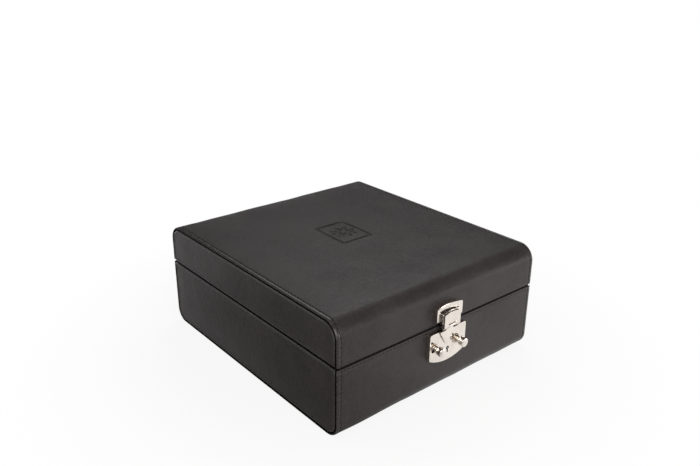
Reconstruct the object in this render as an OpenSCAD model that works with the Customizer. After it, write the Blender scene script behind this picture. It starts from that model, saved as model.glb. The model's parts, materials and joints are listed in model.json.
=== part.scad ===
// Leather-covered jewelry box with a two-knob hasp lock.
// X runs along the front, the front faces -Y, Z is up, and Z = 0 is the underside.

/* [Case] */
// Width of the case, from side panel to side panel
case_w = 200; // [170:1:240]
// Depth of the case, from front cover to back cover
case_d = 222; // [205:1:250]
// Height of the closed case
case_h = 89; // [84:0.5:105]
// Height of the line where the lid meets the base
parting_h = 56; // [54:0.5:62]
// Gap between the rims of the closed lid and the base
parting_gap = 0.3; // [0.2:0.05:0.6]
// Radius of the lid's long edges
lid_edge_r = 13; // [9:0.5:15]
// Radius of the base's long lower edges
base_edge_r = 11; // [8:0.5:14]

/* [Boards and coverings] */
// Thickness of the front and back boards
wall_t = 6; // [5:0.5:7]
// Thickness of the left and right boards
side_t = 5; // [4:0.5:7]
// Thickness of the base's bottom board
floor_t = 5; // [4:0.5:6]
// Thickness of the lid's top board
top_t = 4; // [3:0.5:5]
// Thickness of the foam under the lid's leather
top_foam_t = 2.5; // [1.5:0.5:3.5]
// Thickness of the leather covering
leather_t = 0.8; // [0.6:0.1:1]
// Thickness of the inset side panels with their leather
panel_t = 2.5; // [2:0.1:3.5]
// Groove between a side panel and the covering round it
panel_groove = 0.25; // [0.15:0.05:0.5]
// How far the covering's cut ends stay behind the side panels' faces
cover_set_back = 0.3; // [0:0.1:0.8]
// Thickness of the felt under the base
felt_t = 0.5; // [0.4:0.1:1]
// How far the felt stays inside the flat of the underside
felt_inset = 3; // [1:0.5:10]
// Thickness of the velvet lining
lining_t = 1; // [0.6:0.1:1.5]

/* [Inside] */
// Height of the dividers' tops above the lined floor
divider_h = 43; // [36:0.5:44]
// Thickness of the padded dividers
divider_t = 4; // [3:0.5:6]
// Number of ring rolls
roll_count = 5; // [3:1:5]
// Diameter of a ring roll
roll_d = 11.6; // [10:0.2:12.4]
// Space between one ring roll and the next
roll_gap = 0.6; // [0.4:0.1:1]
// Space between the ring rolls and the bed and walls round them
roll_clear = 0.3; // [0.2:0.1:0.6]
// Depth of the row of small compartments, from front to back
small_cell_d = 68; // [50:1:70]
// Number of small compartments
small_cells = 3; // [2:1:4]
// Width of the border round the lid's mirror
mirror_border = 18; // [12:1:24]
// Thickness of the mirror
mirror_t = 2; // [1.5:0.1:3]
// Thickness of the lip that holds the mirror's edge
mirror_lip_t = 1.8; // [1:0.1:3]
// Overlap of the lip on the mirror's edge
mirror_lip_w = 3; // [2:0.5:5]
// Clearance round the mirror in its frame
mirror_clear = 0.2; // [0.1:0.05:0.5]

/* [Rear hinges] */
// Distance from each end of the case to the middle of its hinge
hinge_end = 45; // [35:1:60]
// Width of a hinge
hinge_w = 30; // [24:1:36]
// Width of the lid's middle knuckle
hinge_knuckle_w = 14.7; // [8:0.1:18]
// Thickness of a hinge leaf
leaf_t = 1; // [0.9:0.1:1.2]
// Radius of the hinge knuckles
knuckle_r = 2; // [1.8:0.1:2.6]
// Radius of a hinge pin
hinge_pin_r = 0.8; // [0.6:0.05:1]
// Running clearance of a pin in its knuckles
pin_clear = 0.05; // [0.02:0.01:0.08]
// Gap between the parts of a hinge, and between its knuckles and the case
hinge_clear = 0.2; // [0.15:0.05:0.3]
// Angle at which the hinge stops meet
hinge_stop_deg = 95; // [90:1:100]
// How far the stops stand out of the knuckles
stop_h = 1.4; // [1:0.1:2]
// Radius of a hinge screw's shank
screw_r = 0.9; // [0.7:0.05:1.1]
// Radius of a hinge screw's head
screw_head_r = 1.8; // [1.4:0.1:2.1]
// Length of a hinge screw
screw_len = 8; // [5:0.5:10]
// Distance between the screws of a leaf
screw_pitch = 10; // [7:0.5:11]

/* [Lock on the base] */
// Width of the lock's cover
lock_w = 37; // [35.5:0.5:42]
// Height of the lock's cover, from its top edge to the lowest point of its arch
lock_h = 25.8; // [25:0.2:30]
// Rise of the arch along the cover's lower edge
lock_arch = 4.8; // [3:0.1:5.5]
// Corner radius of the lock's cover
lock_corner_r = 2; // [1.5:0.1:3]
// How far the cover's top edge lies below the parting line
lock_drop = 2.7; // [2:0.1:4]
// How far the cover stands out of the front
lock_out = 4.3; // [4.1:0.1:5.5]
// Wall of the lock's cover
lock_wall = 1; // [0.7:0.1:1.1]
// Thickness of the lock's back plate
back_plate_t = 0.8; // [0.6:0.1:1]
// Distance between the middles of the two knobs
knob_spread = 23; // [22:0.2:24]
// How far the knobs' middles lie below the cover's top edge
knob_drop = 13.3; // [12.8:0.1:14]
// Radius of a knob's head
knob_r = 3.5; // [2.8:0.1:4]
// Radius of a knob's shank
knob_shank_r = 1.5; // [1.2:0.1:1.8]
// How far a knob stands out of the cover
knob_out = 7.2; // [5:0.1:9]
// Travel of a knob along its slot
knob_travel = 3.5; // [3:0.1:3.8]
// Running clearance of the moving parts of the lock
lock_clear = 0.15; // [0.1:0.05:0.2]
// Radius of the keyhole's round part
keyhole_r = 1.5; // [1.2:0.1:1.8]
// Width of the keyhole's slot
key_slot_w = 1.3; // [1:0.1:1.8]
// How far the keyhole's middle lies below the cover's top edge
keyhole_drop = 16; // [15.4:0.1:17]
// Radius of the post that the key turns on
key_post_r = 0.5; // [0.4:0.05:0.7]
// Radius of the rivets through the front boards
rivet_r = 0.9; // [0.7:0.05:1]
// Wire of a bolt spring
spring_wire = 0.3; // [0.2:0.05:0.35]
// Outer diameter of a bolt spring
spring_d = 2.2; // [1.8:0.1:2.4]
// Turns of a bolt spring
spring_turns = 5; // [4:1:5]

/* [Hasp on the lid] */
// Width of the hasp's plate
hasp_w = 26; // [25.6:0.2:30]
// Height of the hasp's plate, up to the top of its arch
hasp_h = 11.8; // [11.4:0.1:13]
// Rise of the arch along the plate's upper edge
hasp_arch = 1.9; // [1:0.1:2.5]
// How far the plate's lower edge lies above the parting line
hasp_lift = 6; // [5.5:0.1:6.6]
// How far the plate stands out of the front
hasp_out = 4.7; // [4:0.1:5.2]
// Width of the raised cap in the middle of the plate
cap_w = 17.6; // [17:0.2:18]
// How far the cap stands out of the front
cap_out = 7.7; // [7.4:0.1:8.4]
// Height of the cap's shoulder above the parting line, at the top of its arch
cap_top = 13.2; // [12.8:0.1:13.6]
// Height of the cap's lower edge above the parting line
cap_bottom = 3.7; // [3.5:0.1:4.4]
// Width and depth of the step round the cap's front
cap_step = 0.6; // [0.3:0.1:1]
// Gap between the cap and the plate's window
cap_gap = 0.5; // [0.3:0.1:0.8]
// Width of the tongue at its shoulders
tongue_w = 18.4; // [18:0.2:19.4]
// Height of the tongue's shoulders below the parting line
tongue_shoulder = 2.6; // [2.2:0.1:2.8]
// Depth of the tongue's tip below the parting line
tongue_tip = 15; // [14.6:0.1:15.6]
// Radius of the tongue's tip
tongue_tip_r = 4.4; // [3.8:0.1:5]
// Thickness of the tongue
tongue_t = 1; // [0.8:0.1:1.2]
// Width of the tongue's knuckle
tongue_knuckle_w = 7.4; // [6.8:0.1:8.4]
// Radius of the knuckles round the hasp's pin
hasp_knuckle_r = 1.6; // [1.4:0.05:1.65]
// Height of the hasp's pin above the parting line
hasp_pin_h = 1.3; // [1:0.1:1.5]
// Radius of the hasp's pin
hasp_pin_r = 0.7; // [0.5:0.05:0.9]
// Width of the catch on the tongue's back
catch_w = 6; // [5:0.1:6.2]
// Height of the catch on the tongue's back
catch_h = 4; // [3:0.1:4.2]
// Depth of the catch behind the tongue
catch_depth = 3; // [2:0.1:3.05]

/* [Hidden] */

$fn = 64;
LEFT = -1;
RIGHT = 1;
over = 1;
front_y = -case_d / 2;
back_y = case_d / 2;

// Heights, from the floor up
cover_z = felt_t;
floor_board_z = cover_z + leather_t;
lined_floor_z = floor_board_z + floor_t + lining_t;
base_top_z = parting_h - parting_gap / 2;
base_board_top_z = base_top_z - leather_t;
lid_low_z = parting_h + parting_gap / 2;
lid_board_low_z = lid_low_z + leather_t;
foam_z = case_h - leather_t - top_foam_t;
ceiling_z = foam_z - top_t;
mirror_z = ceiling_z - mirror_t;
mirror_frame_z = mirror_z - mirror_lip_t;
divider_top_z = lined_floor_z + divider_h;

// Half widths (x) and half depths (y), from the outside in
board_x = case_w / 2 - panel_t;
inner_x = board_x - side_t;
lined_x = inner_x - lining_t;
board_y = case_d / 2 - leather_t;
inner_y = board_y - wall_t;
lined_y = inner_y - lining_t;

// Inside layout
roll_r = roll_d / 2;
roll_pitch = roll_d + roll_gap;
ring_bay_d = roll_count * roll_pitch - roll_gap + 2 * roll_clear;
roll_z = divider_top_z - roll_r;
front_divider_y = -lined_y + ring_bay_d;
small_row_y = front_divider_y + divider_t;
middle_divider_y = small_row_y + small_cell_d;
large_row_y = middle_divider_y + divider_t;
small_cell_w = (2 * lined_x - (small_cells - 1) * divider_t) / small_cells;

// Rear hinges
hinge_x = case_w / 2 - hinge_end;
hinge_y = back_y + hinge_clear + knuckle_r;
hinge_z = parting_h;
leaf_set_back = 0.5;
leaf_y = inner_y + leaf_set_back;
screw_y = inner_y + wall_t / 2;
screw_clear = 0.05;
screw_hole_spare = 0.5;
countersink_share = 0.9;
countersink_h = leaf_t * countersink_share;
stop_root = 0.3;
stop_half_deg = 10;
stop_rest_deg = 60;
stop_gap_deg = 4;
stop_bar_deg = stop_rest_deg - hinge_stop_deg - 2 * stop_half_deg - stop_gap_deg;

// Lock: depths are measured outwards from the front covering
lock_top_z = parting_h - lock_drop;
lock_low_z = lock_top_z - lock_h;
knob_z = lock_top_z - knob_drop;
keyhole_z = lock_top_z - keyhole_drop;
key_slot_len = 2.2;
key_slot_low_z = keyhole_z - keyhole_r - key_slot_len;
lock_room_out = lock_out - lock_wall;
bolt_out = lock_room_out - lock_clear;
bolt_in = back_plate_t + lock_clear;
catch_clear = 0.3;
bolt_nose_x = catch_w / 2 + catch_clear;
bolt_nose_w = 2.6;
bolt_end_wall = 0.6;
bolt_end_x = knob_spread / 2 + knob_shank_r + bolt_end_wall;
bolt_half_h = 3;
spring_clear = 0.3;
spring_z = knob_z - bolt_half_h - spring_d / 2 - spring_clear;
spring_web = 1;
spring_nose_gap = 0.1;
spring_x = bolt_nose_x + bolt_nose_w + spring_nose_gap;
spring_post_w = 0.8;
spring_spare = 0.6;
spring_post_x = spring_x + knob_travel + spring_turns * spring_wire + spring_spare;
spring_post_gap = 0.2;
spring_room_end_x = spring_post_x + spring_post_w + spring_post_gap;
bolt_low_z = spring_z - spring_d / 2 - spring_clear - spring_web;
rivet_head_rim = 1;
rivet_head_r = rivet_r + rivet_head_rim;
rivet_head_t = 1;
rivet_clear = 0.05;
boss_wall = 0.7;
boss_lap = 0.2;
boss_side_gap = 1;
boss_top_gap = 0.5;
boss_low_gap = 0.4;
boss_r = rivet_r + boss_wall;
boss_x = lock_w / 2 - lock_wall - boss_r - boss_side_gap;
boss_top_z = lock_top_z - lock_wall - boss_r - boss_top_gap;
boss_low_z = lock_low_z + lock_wall + boss_r + boss_low_gap;
back_plate_gap = 0.1;
knob_tail_r = knob_shank_r - 0.4;
knob_collar_r = knob_r - 0.8;
knob_collar_t = 0.8;
knob_neck_r = knob_r - 1.3;
knob_neck_len = 2.4;
knob_dome = 0.9;

// Hasp: heights are measured from the parting line
hasp_z = parting_h + hasp_lift;
hasp_pin_z = parting_h + hasp_pin_h;
ear_rim = 0.1;
ear_r = hasp_knuckle_r + ear_rim;
hasp_pin_out = cap_out - ear_r;
tongue_in = lock_out + lock_clear;
shoulder_z = parting_h - tongue_shoulder;
tongue_side_h = 1.2;
catch_lap = 0.2;
tip_z = parting_h - tongue_tip;
hasp_corner_r = 1.2;
cap_arch = 1.4;
cap_corner_r = 0.5;
cap_layer = 1.5;
cap_rivet_x = 5;
hasp_rivet_x = (cap_w / 2 + cap_gap + hasp_w / 2) / 2;
hasp_rivet_rise = 4.5;
hasp_rivet_z = hasp_z + hasp_rivet_rise;
catch_z = tip_z + tongue_tip_r;
catch_reach = norm([hasp_pin_out - tongue_in + catch_depth, hasp_pin_z - catch_z]);
catch_swing_gap = 0.2;
mouth_low_z = hasp_pin_z - catch_reach - catch_swing_gap;

// Puts a flat outline drawn in (Y, Z) across the case, from x0 to x1.
module across(x0, x1) {
    translate([x0, 0, 0])
        rotate([90, 0, 90])
            linear_extrude(height = x1 - x0)
                children();
}

// Stands a flat outline drawn in (X, Z) on the front, from out0 to out1 in front of the covering.
module on_front(out0, out1) {
    translate([0, front_y - out0, 0])
        rotate([90, 0, 0])
            linear_extrude(height = out1 - out0)
                children();
}

// A round bar along Y, from out0 to out1 in front of the covering.
module front_bar(x, z, r, out0, out1) {
    translate([x, front_y - out0, z])
        rotate([90, 0, 0])
            cylinder(h = out1 - out0, r = r);
}

// Outline of a trough: open square top, rounded lower corners.
module trough(half_w, low, high, r) {
    translate([-half_w, low + r])
        square([2 * half_w, high - low - r]);
    translate([-half_w + r, low])
        square([2 * (half_w - r), r + over]);
    for (s = [LEFT, RIGHT])
        translate([s * (half_w - r), low + r])
            circle(r);
}

// The base's outline in (Y, Z), moved inwards by an inset.
module base_outline(inset) {
    trough(case_d / 2 - inset, cover_z + inset, base_top_z, base_edge_r - inset);
}

// The lid's outline in (Y, Z), moved inwards by an inset.
module lid_outline(inset) {
    translate([0, case_h + lid_low_z])
        mirror([0, 1])
            trough(case_d / 2 - inset, lid_low_z + inset, case_h, lid_edge_r - inset);
}

// A plate with a flat edge on y = 0, rounded corners and an arched far edge that peaks at h.
module arched_plate(w, h, rise, r) {
    big_r = (pow(w / 2, 2) + pow(rise, 2)) / (2 * rise);
    corner_x = w / 2 - r;
    corner_y = h - big_r + sqrt(pow(big_r - r, 2) - pow(corner_x, 2));
    tangent_x = corner_x * big_r / (big_r - r);
    intersection() {
        translate([0, h - big_r])
            circle(big_r, $fn = 256);
        translate([-tangent_x, corner_y / 2])
            square([2 * tangent_x, h]);
    }
    translate([-w / 2, r])
        square([w, corner_y - r]);
    translate([-corner_x, 0])
        square([2 * corner_x, corner_y]);
    for (x = [-corner_x, corner_x])
        for (y = [r, corner_y])
            translate([x, y])
                circle(r);
}

// A block between two corners.
module block(low, high) {
    translate(low)
        cube(high - low);
}

// A rectangular frame, with its outer and inner half sizes.
module ring_frame(outer, inner, low, high) {
    difference() {
        block([-outer.x, -outer.y, low], [outer.x, outer.y, high]);
        block([-inner.x, -inner.y, low - over], [inner.x, inner.y, high + over]);
    }
}

// Part of a ring round the hinge axis, from angle a0 to a1 measured from +Y towards +Z.
module hinge_sector(x0, x1, r0, r1, a0, a1) {
    translate([x0, hinge_y, hinge_z])
        rotate([90, 0, 90])
            rotate([0, 0, a0])
                rotate_extrude(angle = a1 - a0, $fn = 96)
                    translate([r0, 0])
                        square([r1 - r0, x1 - x0]);
}

// A round bar along X on the hinge axis.
module hinge_bar(x0, x1, r) {
    translate([x0, hinge_y, hinge_z])
        rotate([0, 90, 0])
            cylinder(h = x1 - x0, r = r);
}

// The three screw places of one hinge.
module at_hinge_screws(x) {
    for (i = [-1:1])
        translate([x + i * screw_pitch, screw_y, 0])
            children();
}

// The seats of both base leaves and their screw holes.
module base_hinge_seats() {
    for (s = [LEFT, RIGHT]) {
        x = s * hinge_x;
        block([x - hinge_w / 2, leaf_y, base_top_z - leaf_t],
              [x + hinge_w / 2, back_y + over, base_top_z + over]);
        at_hinge_screws(x)
            translate([0, 0, base_top_z - screw_len - screw_hole_spare])
                cylinder(h = screw_len, r = screw_r + screw_clear);
    }
}

// The seats of both lid leaves and their screw holes.
module lid_hinge_seats() {
    translate([0, 0, 2 * parting_h])
        mirror([0, 0, 1])
            base_hinge_seats();
}

// Holes through a front board and its covering for rivets, with room for their inner heads.
module rivet_hole(x, z) {
    front_bar(x, z, rivet_r + rivet_clear, -leather_t - wall_t - over, over);
    front_bar(x, z, rivet_head_r + rivet_clear, -leather_t - wall_t - over, rivet_head_t - leather_t - wall_t);
}

module lock_rivet_holes() {
    for (s = [LEFT, RIGHT])
        rivet_hole(s * boss_x, boss_top_z);
    rivet_hole(0, boss_low_z);
}

module hasp_rivet_holes() {
    for (x = [hasp_rivet_x, cap_rivet_x])
        for (s = [LEFT, RIGHT])
            rivet_hole(s * x, hasp_rivet_z);
}

// A rivet through a front board, with its head on the inside.
module rivet(x, z, out) {
    front_bar(x, z, rivet_r, -leather_t - wall_t, out);
    front_bar(x, z, rivet_head_r, -leather_t - wall_t, rivet_head_t - leather_t - wall_t);
}

// ---- Base case ----

module bottom_felt() {
    flat_y = case_d / 2 - base_edge_r - felt_inset;
    flat_x = case_w / 2 - panel_t - felt_inset;
    color("dimgray")
        block([-flat_x, -flat_y, 0], [flat_x, flat_y, felt_t]);
}

module base_bottom_board() {
    color("burlywood")
        intersection() {
            across(-board_x, board_x)
                base_outline(leather_t);
            block([-board_x, -inner_y, 0], [board_x, inner_y, floor_board_z + floor_t]);
        }
}

module base_wall_board(side) {
    intersection() {
        across(-board_x, board_x)
            base_outline(leather_t);
        block([-board_x, side < 0 ? -board_y : inner_y, 0],
              [board_x, side < 0 ? -inner_y : board_y, base_board_top_z]);
    }
}

module base_front_board() {
    color("burlywood")
        difference() {
            base_wall_board(-1);
            lock_rivet_holes();
        }
}

module base_back_board() {
    color("burlywood")
        difference() {
            base_wall_board(1);
            base_hinge_seats();
        }
}

module base_side_board(side) {
    x = side * (board_x + inner_x) / 2;
    color("burlywood")
        block([x - side_t / 2, -inner_y, floor_board_z + floor_t],
              [x + side_t / 2, inner_y, base_board_top_z]);
}

module base_cover() {
    end_x = case_w / 2 - cover_set_back;
    color("dimgray")
        difference() {
            across(-end_x, end_x)
                difference() {
                    base_outline(0);
                    base_outline(leather_t);
                    translate([-board_y, base_top_z - over])
                        square([2 * board_y, 2 * over]);
                }
            base_hinge_seats();
            lock_rivet_holes();
        }
}

module base_panel(side) {
    x0 = side < 0 ? -case_w / 2 : board_x;
    color("dimgray")
        across(x0, x0 + panel_t)
            base_outline(leather_t + panel_groove);
}

module base_rim() {
    color("dimgray")
        difference() {
            ring_frame([board_x, board_y], [inner_x, inner_y], base_board_top_z, base_top_z);
            base_hinge_seats();
        }
}

// ---- Inside of the base ----

module base_wall_lining() {
    color("lightslategray")
        ring_frame([inner_x, inner_y], [lined_x, lined_y], floor_board_z + floor_t, base_board_top_z);
}

module base_floor_lining() {
    color("lightslategray")
        block([-lined_x, -lined_y, floor_board_z + floor_t], [lined_x, lined_y, lined_floor_z]);
}

module ring_bed() {
    color("lightslategray")
        block([-lined_x, -lined_y, lined_floor_z], [lined_x, front_divider_y, roll_z - roll_r - roll_clear]);
}

module ring_rolls() {
    color("lightslategray")
        for (i = [0:roll_count - 1])
            translate([-lined_x + roll_clear, -lined_y + roll_clear + roll_r + i * roll_pitch, roll_z])
                rotate([0, 90, 0])
                    cylinder(h = 2 * (lined_x - roll_clear), r = roll_r);
}

// A divider with a round top edge, between two points on the floor that share an X or a Y.
module divider(low, high) {
    r = divider_t / 2;
    along_x = high.x - low.x > high.y - low.y;
    color("lightslategray") {
        block([low.x, low.y, lined_floor_z], [high.x, high.y, divider_top_z - r]);
        translate([along_x ? low.x : low.x + r, along_x ? low.y + r : low.y, divider_top_z - r])
            rotate(along_x ? [0, 90, 0] : [-90, 0, 0])
                cylinder(h = along_x ? high.x - low.x : high.y - low.y, r = r);
    }
}

module front_divider() {
    divider([-lined_x, front_divider_y], [lined_x, front_divider_y + divider_t]);
}

module middle_divider() {
    divider([-lined_x, middle_divider_y], [lined_x, middle_divider_y + divider_t]);
}

module small_dividers() {
    for (i = [1:small_cells - 1]) {
        x = -lined_x + i * (small_cell_w + divider_t) - divider_t;
        divider([x, small_row_y], [x + divider_t, middle_divider_y]);
    }
}

module back_divider() {
    divider([-divider_t / 2, large_row_y], [divider_t / 2, lined_y]);
}

// ---- Rear hinges ----

module hinge_base_leaf(side) {
    x = side * hinge_x;
    outer = hinge_w / 2;
    inner = hinge_knuckle_w / 2 + hinge_clear;
    color("silver")
        difference() {
            union() {
                block([x - outer, leaf_y, base_top_z - leaf_t], [x + outer, back_y, base_top_z]);
                for (s = [LEFT, RIGHT]) {
                    x0 = s < 0 ? x - outer : x + inner;
                    block([x0, back_y - over, base_top_z - leaf_t],
                          [x0 + outer - inner, hinge_y, base_top_z]);
                    hinge_bar(x0, x0 + outer - inner, knuckle_r);
                    hinge_sector(x0, x0 + outer - inner, knuckle_r - stop_root, knuckle_r + stop_h,
                                 stop_bar_deg - stop_half_deg, stop_bar_deg + stop_half_deg);
                }
                hinge_sector(x - outer, x + outer, knuckle_r + hinge_clear, knuckle_r + stop_h,
                             stop_bar_deg - stop_half_deg, stop_bar_deg + stop_half_deg);
            }
            hinge_bar(x - outer - over, x + outer + over, hinge_pin_r + pin_clear);
            at_hinge_screws(x)
                leaf_screw_hole();
        }
}

// A countersunk hole through a base leaf.
module leaf_screw_hole() {
    translate([0, 0, base_top_z - leaf_t - over])
        cylinder(h = leaf_t + 2 * over, r = screw_r + screw_clear);
    translate([0, 0, base_top_z - countersink_h])
        cylinder(h = countersink_h, r1 = screw_r + screw_clear, r2 = screw_head_r + screw_clear);
}

module hinge_lid_leaf(side) {
    x = side * hinge_x;
    outer = hinge_w / 2;
    inner = hinge_knuckle_w / 2;
    lid_leaf_z = lid_low_z + leaf_t;
    color("silver")
        difference() {
            union() {
                block([x - outer, leaf_y, lid_low_z], [x + outer, back_y, lid_leaf_z]);
                block([x - inner, back_y - over, lid_low_z], [x + inner, hinge_y, lid_leaf_z]);
                hinge_bar(x - inner, x + inner, knuckle_r);
                hinge_sector(x - inner, x + inner, knuckle_r - stop_root, knuckle_r + stop_h,
                             stop_rest_deg - stop_half_deg, stop_rest_deg + stop_half_deg);
            }
            hinge_bar(x - outer - over, x + outer + over, hinge_pin_r + pin_clear);
            translate([0, 0, 2 * parting_h])
                mirror([0, 0, 1])
                    at_hinge_screws(x)
                        leaf_screw_hole();
        }
}

module hinge_pin(side) {
    x = side * hinge_x;
    color("silver")
        hinge_bar(x - hinge_w / 2, x + hinge_w / 2, hinge_pin_r);
}

// Countersunk screws, with their heads flush with the base leaves.
module base_hinge_screws() {
    color("silver")
        for (s = [LEFT, RIGHT])
            at_hinge_screws(s * hinge_x) {
                translate([0, 0, base_top_z - screw_len])
                    cylinder(h = screw_len - countersink_h, r = screw_r);
                translate([0, 0, base_top_z - countersink_h])
                    cylinder(h = countersink_h, r1 = screw_r, r2 = screw_head_r);
            }
}

module lid_hinge_screws() {
    translate([0, 0, 2 * parting_h])
        mirror([0, 0, 1])
            base_hinge_screws();
}

// ---- Lock on the base ----

// The lock's outline in (X, Z), arched along its lower edge and moved inwards by an inset.
module lock_outline(inset) {
    translate([0, lock_top_z - inset])
        mirror([0, 1])
            arched_plate(lock_w - 2 * inset, lock_h - 2 * inset, lock_arch, lock_corner_r - inset);
}

module lock_back_plate() {
    inset = lock_wall + back_plate_gap;
    post_half_h = spring_d / 2;
    color("silver")
        difference() {
            union() {
                on_front(0, back_plate_t)
                    lock_outline(inset);
                for (s = [LEFT, RIGHT])
                    translate([s * (spring_post_x + spring_post_w / 2), 0])
                        on_front(0, bolt_out)
                            translate([-spring_post_w / 2, spring_z - post_half_h])
                                square([spring_post_w, 2 * post_half_h]);
            }
            for (s = [LEFT, RIGHT])
                front_bar(s * boss_x, boss_top_z, rivet_r + rivet_clear, -over, back_plate_t + over);
            front_bar(0, boss_low_z, rivet_r + rivet_clear, -over, back_plate_t + over);
        }
}

module boss(x, z) {
    front_bar(x, z, boss_r, back_plate_t, lock_room_out + boss_lap);
}

module knob_slot() {
    r = knob_shank_r + lock_clear;
    translate([knob_spread / 2, knob_z - r])
        square([knob_travel, 2 * r]);
    for (x = [knob_spread / 2, knob_spread / 2 + knob_travel])
        translate([x, knob_z])
            circle(r);
}

module lock_cover() {
    mouth_half_w = catch_w / 2 + catch_clear;
    color("gainsboro")
        difference() {
            union() {
                difference() {
                    on_front(0, lock_out)
                        lock_outline(0);
                    on_front(-over, lock_room_out)
                        lock_outline(lock_wall);
                }
                for (s = [LEFT, RIGHT])
                    boss(s * boss_x, boss_top_z);
                boss(0, boss_low_z);
            }
            for (s = [LEFT, RIGHT]) {
                front_bar(s * boss_x, boss_top_z, rivet_r + rivet_clear, -over, lock_room_out);
                on_front(lock_room_out - over, lock_out + over)
                    mirror([s < 0 ? 1 : 0, 0])
                        knob_slot();
            }
            front_bar(0, boss_low_z, rivet_r + rivet_clear, -over, lock_room_out);
            on_front(back_plate_t, lock_out + over)
                translate([-mouth_half_w, mouth_low_z])
                    square([2 * mouth_half_w, lock_h]);
            front_bar(0, keyhole_z, keyhole_r, lock_room_out - over, lock_out + over);
            on_front(lock_room_out - over, lock_out + over)
                translate([-key_slot_w / 2, key_slot_low_z])
                    square([key_slot_w, keyhole_z - key_slot_low_z]);
        }
}

module lock_rivets() {
    color("silver") {
        for (s = [LEFT, RIGHT])
            rivet(s * boss_x, boss_top_z, lock_room_out);
        rivet(0, boss_low_z, lock_room_out);
    }
}

module key_post() {
    color("silver")
        front_bar(0, keyhole_z, key_post_r, back_plate_t, lock_out);
}

// The right-hand bolt: a nose beside the catch, a plate for the knob and a window for its spring.
module bolt_shape() {
    difference() {
        union() {
            translate([bolt_nose_x, bolt_low_z])
                square([spring_room_end_x + spring_web - bolt_nose_x, knob_z - bolt_low_z]);
            translate([bolt_nose_x, knob_z - bolt_half_h])
                square([bolt_end_x - bolt_nose_x, 2 * bolt_half_h]);
            translate([bolt_nose_x, knob_z])
                square([bolt_nose_w, catch_z + catch_h - knob_z]);
        }
        translate([spring_x, spring_z - spring_d / 2 - spring_clear])
            square([spring_room_end_x - spring_x, spring_d + 2 * spring_clear]);
        translate([knob_spread / 2, knob_z])
            circle(knob_tail_r + rivet_clear);
    }
}

module bolt(side) {
    color("silver")
        on_front(bolt_in, bolt_out)
            mirror([side < 0 ? 1 : 0, 0])
                bolt_shape();
}

// Outline of a knob, turned about its own axis: tail, shank, collar, neck and domed head.
module knob_half_outline() {
    face_out = lock_out + lock_clear;
    edge_out = lock_out + knob_out - knob_dome;
    dome_r = (pow(knob_r, 2) + pow(knob_dome, 2)) / (2 * knob_dome);
    square([knob_tail_r, bolt_out - bolt_in]);
    translate([0, bolt_out - bolt_in])
        square([knob_shank_r, face_out - bolt_out]);
    translate([0, face_out - bolt_in])
        square([knob_collar_r, knob_collar_t]);
    translate([0, face_out - bolt_in])
        square([knob_neck_r, edge_out - face_out]);
    translate([0, face_out - bolt_in + knob_neck_len])
        square([knob_r, edge_out - face_out - knob_neck_len]);
    intersection() {
        translate([0, edge_out - bolt_in + knob_dome - dome_r])
            circle(dome_r, $fn = 128);
        translate([0, edge_out - bolt_in])
            square([knob_r, knob_dome]);
    }
}

module knob(side) {
    color("gainsboro")
        translate([side * knob_spread / 2, front_y - bolt_in, knob_z])
            rotate([90, 0, 0])
                rotate_extrude()
                    knob_half_outline();
}

// A coil along X, from x0 to x1.
module bolt_spring(side) {
    length = spring_post_x - spring_x;
    wire_deg = 360 * spring_wire * spring_turns / length;
    x0 = side < 0 ? -spring_post_x : spring_x;
    outer_r = spring_d / 2;
    inner_r = outer_r - spring_wire;
    color("silver")
        translate([x0, front_y - (bolt_in + bolt_out) / 2, spring_z])
            rotate([90, 0, 90])
                linear_extrude(height = length, twist = -360 * spring_turns, slices = 20 * spring_turns, $fn = 10)
                    polygon([for (i = [0:4]) outer_r * [cos(i * wire_deg / 4), sin(i * wire_deg / 4)],
                             for (i = [4:-1:0]) inner_r * [cos(i * wire_deg / 4), sin(i * wire_deg / 4)]]);
}

// ---- Lid case ----

module lid_top_board() {
    color("burlywood")
        intersection() {
            across(-board_x, board_x)
                lid_outline(leather_t);
            block([-board_x, -inner_y, ceiling_z], [board_x, inner_y, foam_z]);
        }
}

module lid_wall_board(side) {
    intersection() {
        across(-board_x, board_x)
            lid_outline(leather_t);
        block([-board_x, side < 0 ? -board_y : inner_y, lid_board_low_z],
              [board_x, side < 0 ? -inner_y : board_y, case_h]);
    }
}

module lid_front_board() {
    color("burlywood")
        difference() {
            lid_wall_board(-1);
            hasp_rivet_holes();
        }
}

module lid_back_board() {
    color("burlywood")
        difference() {
            lid_wall_board(1);
            lid_hinge_seats();
        }
}

module lid_side_board(side) {
    x = side * (board_x + inner_x) / 2;
    color("burlywood")
        block([x - side_t / 2, -inner_y, lid_board_low_z], [x + side_t / 2, inner_y, ceiling_z]);
}

module lid_foam() {
    color("lightyellow")
        intersection() {
            across(-board_x, board_x)
                lid_outline(leather_t);
            block([-board_x, -inner_y, foam_z], [board_x, inner_y, case_h]);
        }
}

module lid_cover() {
    end_x = case_w / 2 - cover_set_back;
    color("dimgray")
        difference() {
            across(-end_x, end_x)
                difference() {
                    lid_outline(0);
                    lid_outline(leather_t);
                    translate([-board_y, lid_low_z - over])
                        square([2 * board_y, 2 * over]);
                }
            lid_hinge_seats();
            hasp_rivet_holes();
        }
}

module lid_panel(side) {
    x0 = side < 0 ? -case_w / 2 : board_x;
    color("dimgray")
        across(x0, x0 + panel_t)
            lid_outline(leather_t + panel_groove);
}

module lid_rim() {
    color("dimgray")
        difference() {
            ring_frame([board_x, board_y], [inner_x, inner_y], lid_low_z, lid_board_low_z);
            lid_hinge_seats();
        }
}

module lid_wall_lining() {
    color("lightslategray")
        ring_frame([inner_x, inner_y], [lined_x, lined_y], lid_board_low_z, ceiling_z);
}

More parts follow.
